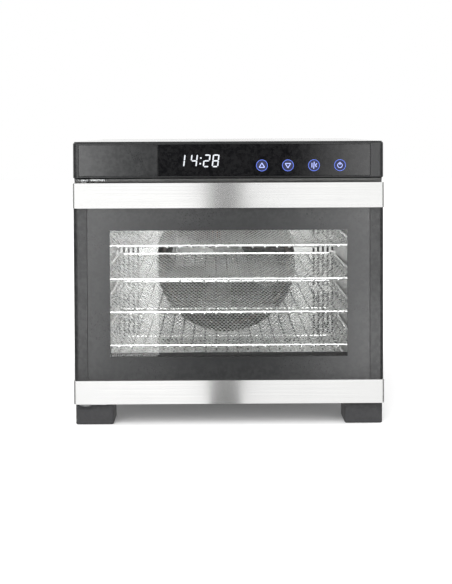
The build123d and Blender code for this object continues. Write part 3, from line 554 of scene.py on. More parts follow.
FINISHES: dict[str, Finish] = {
    "brushed_steel": Finish(
        "brushed_steel_front",
        (0.84, 0.84, 0.83),
        (0.74, 0.74, 0.735),
        smooth=0.20,
        rough=0.27,
        metallic=1.0,
        frequency=BRUSHED_ALONG_X,
        bump=0.08,
        depth=0.00001,
        worn=STEEL_WORN,
        anisotropic=0.8,
        tangent=Axis.Z,
        dust=0.02,
    ),
    "chamber_steel": Finish(
        "satin_chamber_steel",
        (0.66, 0.66, 0.65),
        (0.56, 0.56, 0.555),
        rough=0.42,
        metallic=1.0,
        frequency=(1800.0, 14.0, 60.0),
        bump=0.2,
        depth=0.00003,
        worn=STEEL_WORN,
        dust=0.02,
    ),
    "dark_sheet": Finish(
        "heat_dark_sheet",
        (0.052, 0.050, 0.048),
        (0.085, 0.080, 0.075),
        smooth=0.42,
        rough=0.6,
        frequency=(700.0, 700.0, 700.0),
        worn=(0.3, 0.29, 0.28),
        wear=0.3,
    ),
    "case_sheet": Finish(
        "powder_coated_case",
        (0.155, 0.157, 0.160),
        (0.125, 0.127, 0.130),
        smooth=0.34,
        rough=0.46,
        frequency=(1500.0, 1500.0, 1500.0),
        bump=0.4,
        depth=0.00006,
        worn=(0.42, 0.42, 0.42),
        wear=0.12,
        dust=0.1,
    ),
    "tray_wire": Finish(
        "bright_tray_wire",
        (0.88, 0.88, 0.87),
        (0.74, 0.74, 0.735),
        smooth=0.24,
        rough=0.40,
        metallic=1.0,
        frequency=(300.0, 300.0, 300.0),
        bump=0.15,
        depth=0.00003,
        worn=(0.9, 0.9, 0.89),
        dust=0.02,
    ),
    # Painted shade: the support wires are the same bright steel as the tray rim, painted dark for the shade
    # they lie in under the mesh.
    "tray_support": Finish(
        "shaded_support_wire",
        (0.20, 0.20, 0.20),
        (0.12, 0.12, 0.12),
        smooth=0.35,
        rough=0.5,
        metallic=1.0,
        frequency=(300.0, 60.0, 300.0),
        bump=0.15,
        depth=0.00003,
        dust=0.0,
    ),
    "door_panel": Finish(
        "satin_dark_door",
        (0.012, 0.0125, 0.013),
        (0.009, 0.0095, 0.010),
        smooth=0.27,
        rough=0.31,
        bump=0.04,
        depth=0.00002,
        worn=(0.12, 0.12, 0.12),
        wear=0.08,
        dust=0.03,
    ),
    "housing": Finish(
        "satin_moulded_housing",
        (0.012, 0.0125, 0.013),
        (0.009, 0.0095, 0.010),
        smooth=0.27,
        rough=0.32,
        bump=0.05,
        depth=0.00002,
        worn=(0.12, 0.12, 0.12),
        wear=0.12,
        dust=0.03,
    ),
    "touch_panel": Finish(
        "gloss_touch_panel",
        (0.002, 0.002, 0.0025),
        (0.004, 0.004, 0.0045),
        smooth=0.04,
        rough=0.07,
        frequency=(40.0, 40.0, 40.0),
        bump=0.02,
        depth=0.00001,
        worn=(0.03, 0.03, 0.03),
        dust=0.01,
        specular=0.2,
    ),
    "liner_black": Finish(
        "black_enamel_liner",
        (0.020, 0.020, 0.020),
        (0.032, 0.031, 0.030),
        smooth=0.28,
        rough=0.42,
        frequency=(600.0, 600.0, 600.0),
        worn=(0.2, 0.2, 0.19),
    ),
    "gasket": Finish(
        "grey_silicone_gasket",
        (0.032, 0.032, 0.033),
        (0.045, 0.045, 0.046),
        smooth=0.5,
        rough=0.66,
        frequency=(1200.0, 1200.0, 1200.0),
        worn=(0.1, 0.1, 0.1),
        sheen=0.2,
    ),
    "foot": Finish(
        "moulded_foot",
        (0.044, 0.044, 0.046),
        (0.034, 0.034, 0.036),
        smooth=0.36,
        rough=0.46,
        frequency=(700.0, 700.0, 700.0),
        bump=0.06,
        depth=0.00003,
        worn=(0.12, 0.12, 0.12),
        wear=0.2,
        dust=0.03,
    ),
    "magnet": Finish(
        "sintered_magnet",
        (0.10, 0.10, 0.105),
        (0.15, 0.15, 0.15),
        smooth=0.5,
        rough=0.7,
        frequency=(1500.0, 1500.0, 1500.0),
        worn=(0.3, 0.3, 0.3),
    ),
    "zinc_steel": Finish(
        "zinc_plated_steel",
        (0.66, 0.67, 0.66),
        (0.50, 0.52, 0.53),
        smooth=0.28,
        rough=0.5,
        metallic=1.0,
        frequency=(220.0, 220.0, 220.0),
        worn=STEEL_WORN,
    ),
    "nylon": Finish(
        "natural_nylon",
        (0.72, 0.70, 0.64),
        (0.62, 0.60, 0.54),
        smooth=0.35,
        rough=0.5,
        frequency=(500.0, 500.0, 500.0),
        worn=(0.8, 0.78, 0.72),
    ),
    # Painted shade: the fan's aluminium colours are darkened to about half, for the shade the fan sits in at
    # the back of the chamber.
    "fan": Finish(
        "pressed_aluminium_fan",
        (0.42, 0.42, 0.415),
        (0.34, 0.34, 0.335),
        smooth=0.26,
        rough=0.40,
        metallic=1.0,
        frequency=(220.0, 220.0, 1400.0),
        bump=0.2,
        depth=0.00004,
        worn=(0.9, 0.9, 0.9),
    ),
    "laminations": Finish(
        "stacked_laminations",
        (0.24, 0.22, 0.20),
        (0.10, 0.095, 0.09),
        smooth=0.4,
        rough=0.6,
        metallic=1.0,
        pattern=Pattern.STRIPES,
        frequency=(0.0, 1400.0, 0.0),
        bump=0.6,
        depth=0.0001,
        worn=(0.4, 0.38, 0.36),
    ),
    "winding": Finish(
        "taped_winding",
        (0.46, 0.16, 0.05),
        (0.24, 0.07, 0.02),
        metallic=0.6,
        pattern=Pattern.STRIPES,
        frequency=(0.0, 900.0, 500.0),
        bump=0.7,
        depth=0.00015,
        worn=(0.6, 0.3, 0.15),
    ),
    "heater": Finish(
        "oxidised_heater_sheath",
        (0.20, 0.17, 0.15),
        (0.30, 0.27, 0.26),
        smooth=0.38,
        rough=0.58,
        metallic=1.0,
        frequency=(120.0, 120.0, 120.0),
        worn=(0.45, 0.42, 0.4),
    ),
    "probe": Finish(
        "bright_probe_tube",
        (0.92, 0.92, 0.92),
        (0.84, 0.84, 0.84),
        smooth=0.16,
        rough=0.28,
        metallic=1.0,
        frequency=(700.0, 700.0, 30.0),
        bump=0.1,
        depth=0.00002,
        worn=(0.95, 0.95, 0.95),
    ),
    "circuit_board": Finish(
        "green_solder_mask",
        (0.015, 0.11, 0.045),
        (0.03, 0.19, 0.085),
        smooth=0.2,
        rough=0.34,
        pattern=Pattern.TRACKS,
        frequency=(420.0, 420.0, 420.0),
        bump=0.4,
        worn=(0.55, 0.42, 0.2),
        wear=0.1,
    ),
    "component": Finish(
        "moulded_component",
        (0.045, 0.045, 0.05),
        (0.075, 0.075, 0.08),
        smooth=0.35,
        rough=0.55,
        frequency=(1500.0, 1500.0, 1500.0),
        worn=(0.16, 0.16, 0.16),
    ),
    "spring_steel": Finish(
        "plated_spring",
        (0.72, 0.70, 0.64),
        (0.58, 0.56, 0.50),
        smooth=0.22,
        rough=0.36,
        metallic=1.0,
        frequency=(300.0, 300.0, 300.0),
        worn=(0.85, 0.83, 0.78),
    ),
    "inlet": Finish(
        "moulded_inlet",
        (0.016, 0.016, 0.017),
        (0.026, 0.026, 0.027),
        smooth=0.36,
        rough=0.52,
        frequency=(1600.0, 1600.0, 1600.0),
        bump=0.3,
        worn=(0.1, 0.1, 0.1),
    ),
    "pin_brass": Finish(
        "plated_brass_pin",
        (0.80, 0.72, 0.52),
        (0.66, 0.56, 0.36),
        smooth=0.2,
        rough=0.34,
        metallic=1.0,
        frequency=(400.0, 400.0, 400.0),
        worn=(0.9, 0.85, 0.7),
    ),
}


class FinishShelf:
    """Builds each finish the first time it is asked for.

    Args:
        groups: The shared effects.
    """

    def __init__(self, groups: ShaderGroups) -> None:
        """Starts empty.

        Args:
            groups: The shared effects.
        """
        self.groups = groups
        self.made: dict[str, bpy.types.Material] = {}

    def take(self, slot: str) -> bpy.types.Material:
        """Gives a record slot's material.

        Args:
            slot: The record's slot name.

        Returns:
            The material.
        """
        if slot not in self.made:
            self.made[slot] = (ClearGlass() if slot == "glass" else FINISHES[slot]).build(self.groups)
        return self.made[slot]

    def take_glow(self, glow: Glow) -> bpy.types.Material:
        """Gives a lit mark's material.

        Args:
            glow: The lit mark.

        Returns:
            The material.
        """
        if glow.name not in self.made:
            self.made[glow.name] = glow.build(self.groups)
        return self.made[glow.name]


class Shape:
    """Collects faces and turns them into one object at the origin."""

    def __init__(self) -> None:
        """Starts empty."""
        self.points: list[np.ndarray] = []
        self.faces: list[np.ndarray] = []
        self.count = 0

    def add(self, points: np.ndarray, faces: np.ndarray) -> None:
        """Adds points and the faces between them.

        Args:
            points: Rows of x, y, z in metres.
            faces: Rows of indices into these points.
        """
        self.points.append(np.asarray(points, float))
        self.faces.append(np.asarray(faces, int) + self.count)
        self.count += len(points)

    def grid(self, points: np.ndarray, wrap_rows: bool, wrap_columns: bool) -> None:
        """Adds a sheet of quads over a grid of points.

        Args:
            points: Rows, columns, x y z.
            wrap_rows: Whether the last row joins the first.
            wrap_columns: Whether the last column joins the first.
        """
        rows, columns = points.shape[:2]
        index = np.arange(rows * columns).reshape(rows, columns)
        down = np.roll(index, -1, axis=0) if wrap_rows else index[1:]
        top = index if wrap_rows else index[:-1]
        if wrap_columns:
            next_top, next_down = np.roll(top, -1, axis=1), np.roll(down, -1, axis=1)
        else:
            top, next_top = top[:, :-1], top[:, 1:]
            down, next_down = down[:, :-1], down[:, 1:]
        faces = np.stack([top, next_top, next_down, down], axis=-1).reshape(-1, 4)
        self.add(points.reshape(-1, 3), faces)

    def tube(self, path: np.ndarray, radii: np.ndarray, sides: int, closed: bool) -> None:
        """Adds a round rod along a path.

        Each ring is the path's point plus the radius times the cosine of the angle sideways
        and the sine upwards, where sideways is across the path and level. An open rod's
        first and last radii are nearly nothing, which closes its ends.

        Args:
            path: Rows of x, y, z.
            radii: The radius at each point.
            sides: How many sides the rod has.
            closed: Whether the last point joins the first.
        """
        ahead = np.roll(path, -1, axis=0) if closed else np.vstack([path[1:], path[-1:]])
        behind = np.roll(path, 1, axis=0) if closed else np.vstack([path[:1], path[:-1]])
        along = ahead - behind
        along /= np.linalg.norm(along, axis=1, keepdims=True)
        sideways = np.cross(along, [0.0, 0.0, 1.0])
        sideways /= np.linalg.norm(sideways, axis=1, keepdims=True)
        upwards = np.cross(sideways, along)
        angle = np.linspace(0.0, math.tau, sides, endpoint=False)
        turn_side, turn_up = np.cos(angle)[None, :, None], np.sin(angle)[None, :, None]
        ring = turn_side * sideways[:, None] + turn_up * upwards[:, None]
        self.grid(path[:, None] + radii[:, None, None] * ring, closed, True)

    def make(self, name: str, material: bpy.types.Material, smooth_angle: float = 40.0) -> bpy.types.Object:
        """Makes the object.

        Args:
            name: The object's name.
            material: Its material.
            smooth_angle: Edges sharper than this many degrees stay sharp.

        Returns:
            The object.
        """
        mesh = bpy.data.meshes.new(name)
        faces = [tuple(row) for block in self.faces for row in block.tolist()]
        mesh.from_pydata(np.vstack(self.points).tolist(), [], faces)
        mesh.validate()
        mesh.shade_smooth()
        mesh.set_sharp_from_angle(angle=math.radians(smooth_angle))
        mesh.materials.append(material)
        thing = bpy.data.objects.new(name, mesh)
        bpy.context.scene.collection.objects.link(thing)
        return thing


@dataclass(frozen=True)
class TraySizes:
    """The sizes of one wire tray, in metres."""

    rod: float = 1.5 * MM
    corner: float = 9.0 * MM
    wire: float = 1.0 * MM
    wire_pitch: float = 13.8 * MM
    wire_count: int = 21
    wire_drop: float = 1.5 * MM
    nub: float = 1.5 * MM
    sag: float = 4.5 * MM
    cell: float = 5.2 * MM
    row: float = 13.4 * MM
    bond: float = 0.38
    strand: float = 0.55 * MM
    strand_thickness: float = 0.6 * MM


class TrayWork:
    """The six wire trays: a rim rod, supporting wires and a pressed mesh that sags a little.

    Args:
        shelf: Where finishes come from.
        sizes: The tray's sizes.
    """

    def __init__(self, shelf: FinishShelf, sizes: TraySizes) -> None:
        """Keeps the finishes and sizes.

        Args:
            shelf: Where finishes come from.
            sizes: The tray's sizes.
        """
        self.shelf = shelf
        self.sizes = sizes
        self.made: list[bpy.types.Object] = []

    def _dip(self, x: np.ndarray, y: np.ndarray, half: Vector) -> np.ndarray:
        """How far the mesh hangs at a point.

        The dip is the sag times one minus the fourth power of the distance from the middle,
        as a share of the half width, times the same for the depth.

        Args:
            x: Sideways from the tray's middle.
            y: Backwards from the tray's middle.
            half: The tray's half sizes.

        Returns:
            The dips in metres.
        """
        across = 1.0 - np.clip(np.abs(x) / half.x, 0.0, 1.0) ** 4
        along = 1.0 - np.clip(np.abs(y) / half.y, 0.0, 1.0) ** 2
        return self.sizes.sag * across * along

    def _rim(self, shape: Shape, centre: Vector, half: Vector, height: float) -> None:
        """Adds the rim rod with its rounded corners.

        Args:
            shape: What is added to.
            centre: The tray's middle.
            half: The rod line's half sizes.
            height: The rod line's height.
        """
        path = []
        radius = self.sizes.corner
        for corner in range(4):
            turn = np.linspace(0.0, math.pi / 2.0, 9) + corner * math.pi / 2.0
            sign_x = 1.0 if corner in (0, 3) else -1.0
            sign_y = 1.0 if corner in (0, 1) else -1.0
            x = centre.x + sign_x * (half.x - radius) + radius * np.cos(turn)
            y = centre.y + sign_y * (half.y - radius) + radius * np.sin(turn)
            path.append(np.column_stack([x, y, np.full(9, height)]))
        line = np.vstack(path)
        shape.tube(line, np.full(len(line), self.sizes.rod), 12, True)

    def _wires(self, wires: Shape, ends: Shape, centre: Vector, half: Vector, height: float) -> None:
        """Adds the wires from front to back, each with a rounded end under the front rod.

        Args:
            wires: What the wires are added to.
            ends: What their front ends are added to.
            centre: The tray's middle.
            half: The rod line's half sizes.
            height: The wires' height at the rim.
        """
        s = self.sizes
        depth = np.linspace(-half.y, half.y, 27)
        widths = np.full(len(depth), s.wire)
        widths[[0, -1]] = 0.02 * MM
        turn = np.linspace(0.02, math.pi - 0.02, 7)
        for index in range(s.wire_count):
            x = (index - (s.wire_count - 1) / 2.0) * s.wire_pitch
            drop = self._dip(np.full(len(depth), x), depth, half)
            path = np.column_stack([np.full(len(depth), centre.x + x), centre.y + depth, height - drop])
            wires.tube(path, widths, 8, False)
            nub_y = centre.y - half.y - s.rod + 0.3 * MM - s.nub * np.cos(turn)
            nub = np.column_stack([np.full(7, centre.x + x), nub_y, np.full(7, height)])
            ends.tube(nub, s.nub * np.sin(turn), 8, False)

    def _mesh(self, shape: Shape, centre: Vector, half: Vector, height: float) -> None:
        """Adds the pressed mesh: zigzag strands that touch in turn, each a flat band.

        Strand k at row j stands at k half-cells plus or minus a quarter cell, by turns,
        so neighbours meet on every other row and leave staggered cells between.

        Args:
            shape: What is added to.
            centre: The tray's middle.
            half: The mesh's half sizes.
            height: The mesh's height at the rim.
        """
        s = self.sizes
        count = int(2.0 * half.x / (s.cell / 2.0)) - 1
        rows = int(2.0 * half.y / s.row)
        line = np.arange(2 * rows)
        step = line // 2
        spread = np.where(line % 2 == 0, -0.5, 0.5) * s.bond
        depth = (-half.y + (step + 0.5 + spread) * 2.0 * half.y / rows)
        depth[0], depth[-1] = -half.y, half.y
        half_thick = s.strand_thickness / 2.0
        for strand in range(count):
            middle = (strand - (count - 1) / 2.0) * s.cell / 2.0
            x = middle + np.where((step + strand) % 2 == 0, 0.25, -0.25) * s.cell
            drop = self._dip(x, depth, half)
            corners = [
                (-s.strand, -half_thick),
                (s.strand, -half_thick),
                (s.strand, half_thick),
                (-s.strand, half_thick),
            ]
            grid = np.empty((len(line), 4, 3))
            for column, (side, lift) in enumerate(corners):
                grid[:, column, 0] = centre.x + x + side
                grid[:, column, 1] = centre.y + depth
                grid[:, column, 2] = height - drop + lift
            shape.grid(grid[:, ::-1], False, True)

    def build(self) -> None:
        """Makes all the trays and lets them stand for the CAD ones."""
        s = self.sizes
        for number in range(1, 7):
            node = f"tray_{number}"
            low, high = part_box(node)
            centre = (low + high) / 2.0
            line = Vector(((high.x - low.x) / 2.0 - s.rod, (high.y - low.y) / 2.0 - s.rod, 0.0))
            rod_height = high.z - s.rod
            shape, wires = Shape(), Shape()
            self._rim(shape, centre, line, rod_height)
            self._wires(wires, shape, centre, line, rod_height - s.wire_drop)
            inner = Vector((line.x, line.y, 0.0))
            self._mesh(shape, centre, inner, rod_height - s.wire_drop + s.wire + 0.3 * MM)
            tray = shape.make(f"wire_tray_{number}", self.shelf.take("tray_wire"))
            # The supports take the dark painted-shade copy of the tray steel.
            supports = wires.make(f"tray_supports_{number}", self.shelf.take("tray_support"))
            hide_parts(node)
            for thing in (tray, supports):
                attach(thing, f"tray_body_{number}")
                self.made.append(thing)
        log.info("trays: 6, %.1f mm sag", s.sag / MM)


@dataclass(frozen=True)
class DisplaySizes:
    """The sizes of the lit marks on the touch panel, in metres."""

    proud: float = 0.06 * MM
    digit_height: float = 14.2 * MM
    digit_width: float = 7.4 * MM
    digit_pitch: float = 9.9 * MM
    bar: float = 1.45 * MM
    gap: float = 0.35 * MM
    slant: float = 0.12
    first_shift: float = 3.8 * MM
    colon_room: float = 4.2 * MM
    ring: float = 6.4 * MM
    ring_band: float = 0.55 * MM
    mark: float = 3.0 * MM
    mark_height: float = 288.2 * MM
    mark_places: tuple[float, ...] = (37.3 * MM, 66.2 * MM, 95.1 * MM, 124.0 * MM)


class Mark(Enum):
    """What is drawn inside a touch key's ring."""

    UP = "up"
    DOWN = "down"
    MODE = "mode"
    POWER = "power"


SEGMENTS: dict[str, str] = {"1": "bc", "2": "abged", "4": "fgbc", "8": "abcdefg"}


class DisplayWork:
    """The clock digits and the ringed touch keys, as thin lit marks on the panel.

    Args:
        shelf: Where finishes come from.
        sizes: The sizes of the marks.
    """

    def __init__(self, shelf: FinishShelf, sizes: DisplaySizes) -> None:
        """Keeps the finishes and sizes, and finds the panel's face.

        Args:
            shelf: Where finishes come from.
            sizes: The sizes of the marks.
        """
        self.shelf = shelf
        self.sizes = sizes
        self.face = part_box("touch_panel")[0].y
        low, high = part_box("display_module")
        self.middle = (low + high) / 2.0

    def _plate(self, shape: Shape, outline: Sequence[tuple[float, float]], layer: int = 1) -> None:
        """Adds a thin flat plate with the given outline to the panel's face.

        Args:
            shape: What is added to.
            outline: Pairs of x and z, going round once, anticlockwise from the front.
            layer: How many thicknesses in front of the panel it stands.
        """
        count = len(outline)
        front = self.face - layer * self.sizes.proud
        back = self.face - 0.2 * self.sizes.proud
        points = [(x, front, z) for x, z in outline] + [(x, back, z) for x, z in outline]
        shape.add(np.array(points), np.arange(0))
        base = shape.count - len(points)
        front_face = np.arange(count)[None] + base
        following = [(i + 1) % count for i in range(count)]
        sides = np.array([[i, i + count, j + count, j] for i, j in enumerate(following)]) + base
        shape.faces += [front_face, sides, front_face[:, ::-1] + count]

    def _ring(self, shape: Shape, x: float, z: float, outer: float, inner: float, layer: int) -> None:
        """Adds a flat ring, or a disc where the inner radius is nearly nothing.

        Args:
            shape: What is added to.
            x: The middle's place across.
            z: The middle's height.
            outer: The outer radius.
            inner: The inner radius.
            layer: How many thicknesses in front of the panel it stands.
        """
        angle = np.linspace(0.0, math.tau, 48, endpoint=False)
        front = self.face - layer * self.sizes.proud
        back = self.face - 0.2 * self.sizes.proud
        profile = [(inner, front), (outer, front), (outer, back), (inner, back)]
        grid = np.empty((48, 4, 3))
        for column, (radius, y) in enumerate(profile):
            grid[:, column, 0] = x + radius * np.cos(angle)
            grid[:, column, 1] = y
            grid[:, column, 2] = z + radius * np.sin(angle)
        shape.grid(grid[:, ::-1], True, True)

    def _digit(self, shape: Shape, character: str, left: float) -> None:
        """Adds one seven-segment digit.

        Args:
            shape: What is added to.
            character: The digit.
            left: The place of its lower left corner.
        """
        s = self.sizes
        w, h, t, g = s.digit_width, s.digit_height / 2.0, s.bar / 2.0, s.gap
        lying = [
            (g + t, t),
            (g + 2 * t, 0.0),
            (w - g - 2 * t, 0.0),
            (w - g - t, t),
            (w - g - 2 * t, 2 * t),
            (g + 2 * t, 2 * t),
        ]
        standing = [
            (t, g + t),
            (2 * t, g + 2 * t),
            (2 * t, h - g),
            (t, h - g + t),
            (0.0, h - g),
            (0.0, g + 2 * t),
        ]
        places = {
            "a": (lying, 0.0, 2 * h - 2 * t),
            "g": (lying, 0.0, h - t),
            "d": (lying, 0.0, 0.0),
            "b": (standing, w - 2 * t, h - t),
            "c": (standing, w - 2 * t, 0.0),
            "f": (standing, 0.0, h - t),
            "e": (standing, 0.0, 0.0),
        }
        foot = self.middle.z - s.digit_height / 2.0
        for name in SEGMENTS[character]:
            outline, dx, dz = places[name]
            slanted = [(left + dx + x + s.slant * (dz + z), foot + dz + z) for x, z in outline]
            self._plate(shape, slanted)

    def _symbol(self, shape: Shape, mark: Mark, x: float, z: float) -> None:
        """Adds the symbol of one key.

        Args:
            shape: What is added to.
            mark: Which symbol.
            x: The ring's middle across.
            z: The ring's middle height.
        """
        m = self.sizes.mark
        thin = 0.16 * m
        if mark in (Mark.UP, Mark.DOWN):
            flip = 1.0 if mark is Mark.UP else -1.0
            tips = [(-m, -0.7 * m * flip), (m, -0.7 * m * flip), (0.0, 0.95 * m * flip)]
            lines = [(tips[0], tips[1]), (tips[1], tips[2]), (tips[2], tips[0])]
        elif mark is Mark.MODE:
            lines = [
                ((-0.75 * m, -0.8 * m), (-0.75 * m, 0.9 * m)),
                ((-0.1 * m, -1.3 * m), (0.1 * m, 1.3 * m)),
                ((0.9 * m, -0.7 * m), (0.55 * m, 0.1 * m)),
                ((0.55 * m, 0.1 * m), (1.1 * m, 0.7 * m)),
            ]
        else:
            lines = [((0.0, 0.1 * m), (0.0, 1.2 * m))]
            self._ring(shape, x, z - 0.05 * m, m, m - 1.6 * thin, 3)
        for start, end in lines:
            run = np.array(end) - np.array(start)
            side = np.array([run[1], -run[0]]) / np.linalg.norm(run) * thin
            corners = [start + side, end + side, end - side, start - side]
            self._plate(shape, [(x + dx, z + dz) for dx, dz in corners], 3)

    def build(self) -> None:
        """Makes the digits, the key rings, their fills and their symbols."""
        s = self.sizes
        digits = Shape()
        width = 4.0 * s.digit_pitch + s.colon_room
        left = self.middle.x - width / 2.0
        for index, character in enumerate("1428"):
            shift = s.colon_room if index >= 2 else 0.0
            start = left + index * s.digit_pitch + shift - (s.first_shift if index == 0 else 0.0)
            self._digit(digits, character, start)
        colon = left + 2.0 * s.digit_pitch + s.colon_room / 2.0 - 1.0 * MM
        dot = 0.85 * MM
        for height in (-0.22, 0.22):
            z = self.middle.z + height * s.digit_height
            lean = s.slant * (height + 0.5) * s.digit_height
            corners = [(-dot, -dot), (dot, -dot), (dot, dot), (-dot, dot)]
            self._plate(digits, [(colon + lean + a, z + b) for a, b in corners])
        rings, fills, symbols = Shape(), Shape(), Shape()
        for place, mark in zip(s.mark_places, Mark):
            self._ring(rings, place, s.mark_height, s.ring, s.ring - s.ring_band, 2)
            self._ring(fills, place, s.mark_height, s.ring - s.ring_band, 0.02 * MM, 1)
            self._symbol(symbols, mark, place, s.mark_height)
        white = self.shelf.take_glow(Glow("display_white", (0.92, 0.96, 1.0), 1.15))
        blue = self.shelf.take_glow(Glow("key_ring_blue", (0.14, 0.24, 1.0), 1.3))
        deep = self.shelf.take_glow(Glow("key_fill_blue", (0.02, 0.03, 0.16), 0.3))
        pale = self.shelf.take_glow(Glow("key_symbol_blue", (0.45, 0.52, 1.0), 1.5))
        for name, shape, material in (
            ("display_digits", digits, white),
            ("key_rings", rings, blue),
            ("key_fills", fills, deep),
            ("key_symbols", symbols, pale),
        ):
            piece = shape.make(name, material)
            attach(piece, "cabinet")
        log.info("display: %d digits and %d keys", 4, len(s.mark_places))


class CarriedOver:
    """The CAD nodes that keep their shape and get their finish here.

    Args:
        shelf: Where finishes come from.
    """

    def __init__(self, shelf: FinishShelf) -> None:
        """Keeps the finishes.

        Args:
            shelf: Where finishes come from.
        """
        self.shelf = shelf

    def build(self) -> None:
        """Gives each node's material slots the finish of the record slot they are named after."""
        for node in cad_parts.values():
            for place in node.material_slots:
                slot = place.material.name.split(".")[0]
                place.material = self.shelf.take(slot)
        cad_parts["window_glass"].visible_shadow = False
        log.info("carried over: %d nodes", len(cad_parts))


class Lit(Enum):
    """Which pieces a light inside the case reaches."""

    TRAYS = auto()
    CHAMBER = auto()


class Seen(Enum):
    """Which surfaces reflect a card."""

    BANDS = ("upper_band", "lower_band")
    DOOR = ("door_panel",)
    SATIN = ("fascia_housing", "door_frame", "hinge_plates")
    BADGE = ("badge_panel",)
    GLOSS = ("touch_panel",)
    GLASS = ("window_glass",)


@dataclass(frozen=True)
class Card:
    """A glowing card that only some reflections see.

    Args:
        name: The card's name.
        corners: Its four corners in order, in metres.
        strength: How bright it is.
        seen: What reflects it.
        ramp: Where across it starts to glow and where it is fully bright, if it comes up slowly.
    """

    name: str
    corners: tuple[Triple, Triple, Triple, Triple]
    strength: float
    seen: Seen
    ramp: tuple[float, float] | None = None


def upright(left: float, right: float, bottom: float, top: float, depth: float) -> tuple[Triple, ...]:
    """Gives the corners of an upright card that faces the object.

    Args:
        left: Its left edge.
        right: Its right edge.
        bottom: Its lower edge.
        top: Its upper edge.
        depth: Its place from front to back.

    Returns:
        The four corners.
    """
    return ((left, depth, bottom), (left, depth, top), (right, depth, top), (right, depth, bottom))


@dataclass(frozen=True)
class StudioSizes:
    """The places of the camera, lights and floor, in metres and degrees."""

    camera: Triple = (-0.0156, -1.713, 0.328)
    pitch: float = -1.931
    yaw: float = -0.498
    roll: float = -0.237
    lens: float = 83.15
    shift: float = -0.20
    floor: float = 14.0
    floor_drop: float = 0.0002
    floor_colour: Colour = (0.93, 0.93, 0.93)
    floor_reflected: float = 0.22
    floor_lift: float = 0.09
    world_lit: float = 0.8
    world_reflected: tuple[float, float] = (0.14, 1.0)
    world_turn: tuple[float, float] = (-0.3, 0.6)
    inside_aim: Triple = (0.0, 0.0, 0.13)
    outside: tuple[tuple[str, Triple, Triple, tuple[float, float], float], ...] = (
        ("key", (-0.4, -1.5, 1.2), (0.0, -0.1, 0.15), (1.4, 1.0), 20.0),
        ("window_fill", (0.0, -1.9, 0.45), (0.0, 0.0, 0.15), (1.6, 0.8), 12.0),
    )
    overhead_power: float = 1.5
    overhead_spread: float = 70.0
    overhead_tilt: float = -8.0
    inside: tuple[tuple[str, Triple, tuple[float, float], float, Lit], ...] = (
        ("trays_front", (-0.1, -1.1, 0.6), (0.8, 0.5), 54.0, Lit.TRAYS),
        ("trays_above", (0.0, -0.1, 1.1), (0.7, 0.7), 10.0, Lit.TRAYS),
        ("chamber_front", (0.0, -1.1, 0.5), (0.8, 0.5), 13.0, Lit.CHAMBER),
    )
    cards: tuple[Card, ...] = field(
        default_factory=lambda: (
            Card("glass_left", upright(-0.75, -0.0878, -0.1, 0.42, -0.45), 5.6, Seen.GLASS),
            Card("door_left", upright(-0.5, 0.02, -0.1, 0.6, -0.45), 6.0, Seen.DOOR, (-0.02, -0.20)),
            Card("door_right", upright(-0.02, 0.5, -0.1, 0.6, -0.45), 6.0, Seen.DOOR, (0.04, 0.22)),
            Card("door_above", upright(-1.2, 1.2, 0.085, 0.30, -1.7), 1.9, Seen.DOOR),
            Card("satin_left", upright(-0.36, 0.02, -0.1, 0.6, -0.45), 3.0, Seen.SATIN, (-0.02, -0.20)),
            Card("satin_right", upright(-0.02, 0.36, -0.1, 0.6, -0.45), 3.2, Seen.SATIN, (0.03, 0.20)),
            Card("badge_left", upright(-0.5, -0.10, -0.1, 0.6, -0.45), 4.4, Seen.BADGE, (-0.12, -0.20)),
            Card("gloss_right", upright(0.0, 0.5, 0.1, 0.6, -0.45), 8.0, Seen.GLOSS, (0.07, 0.22)),
            Card("bands_left", upright(-1.5, -0.0245, 0.0, 1.2, -0.6), 1.08, Seen.BANDS),
            Card("bands_right", upright(0.022, 1.5, 0.0, 1.2, -0.6), 0.98, Seen.BANDS),
            Card(
                "bands_floor_left",
                ((-1.5, -0.235, 0.002), (-0.0215, -0.235, 0.002), (-0.023, -0.6, 0.002), (-1.5, -0.6, 0.002)),
                0.95,
                Seen.BANDS,
            ),
            Card(
                "bands_floor_right",
                ((0.013, -0.235, 0.002), (1.5, -0.235, 0.002), (1.5, -0.6, 0.002), (0.0195, -0.6, 0.002)),
                0.85,
                Seen.BANDS,
            ),
        )
    )


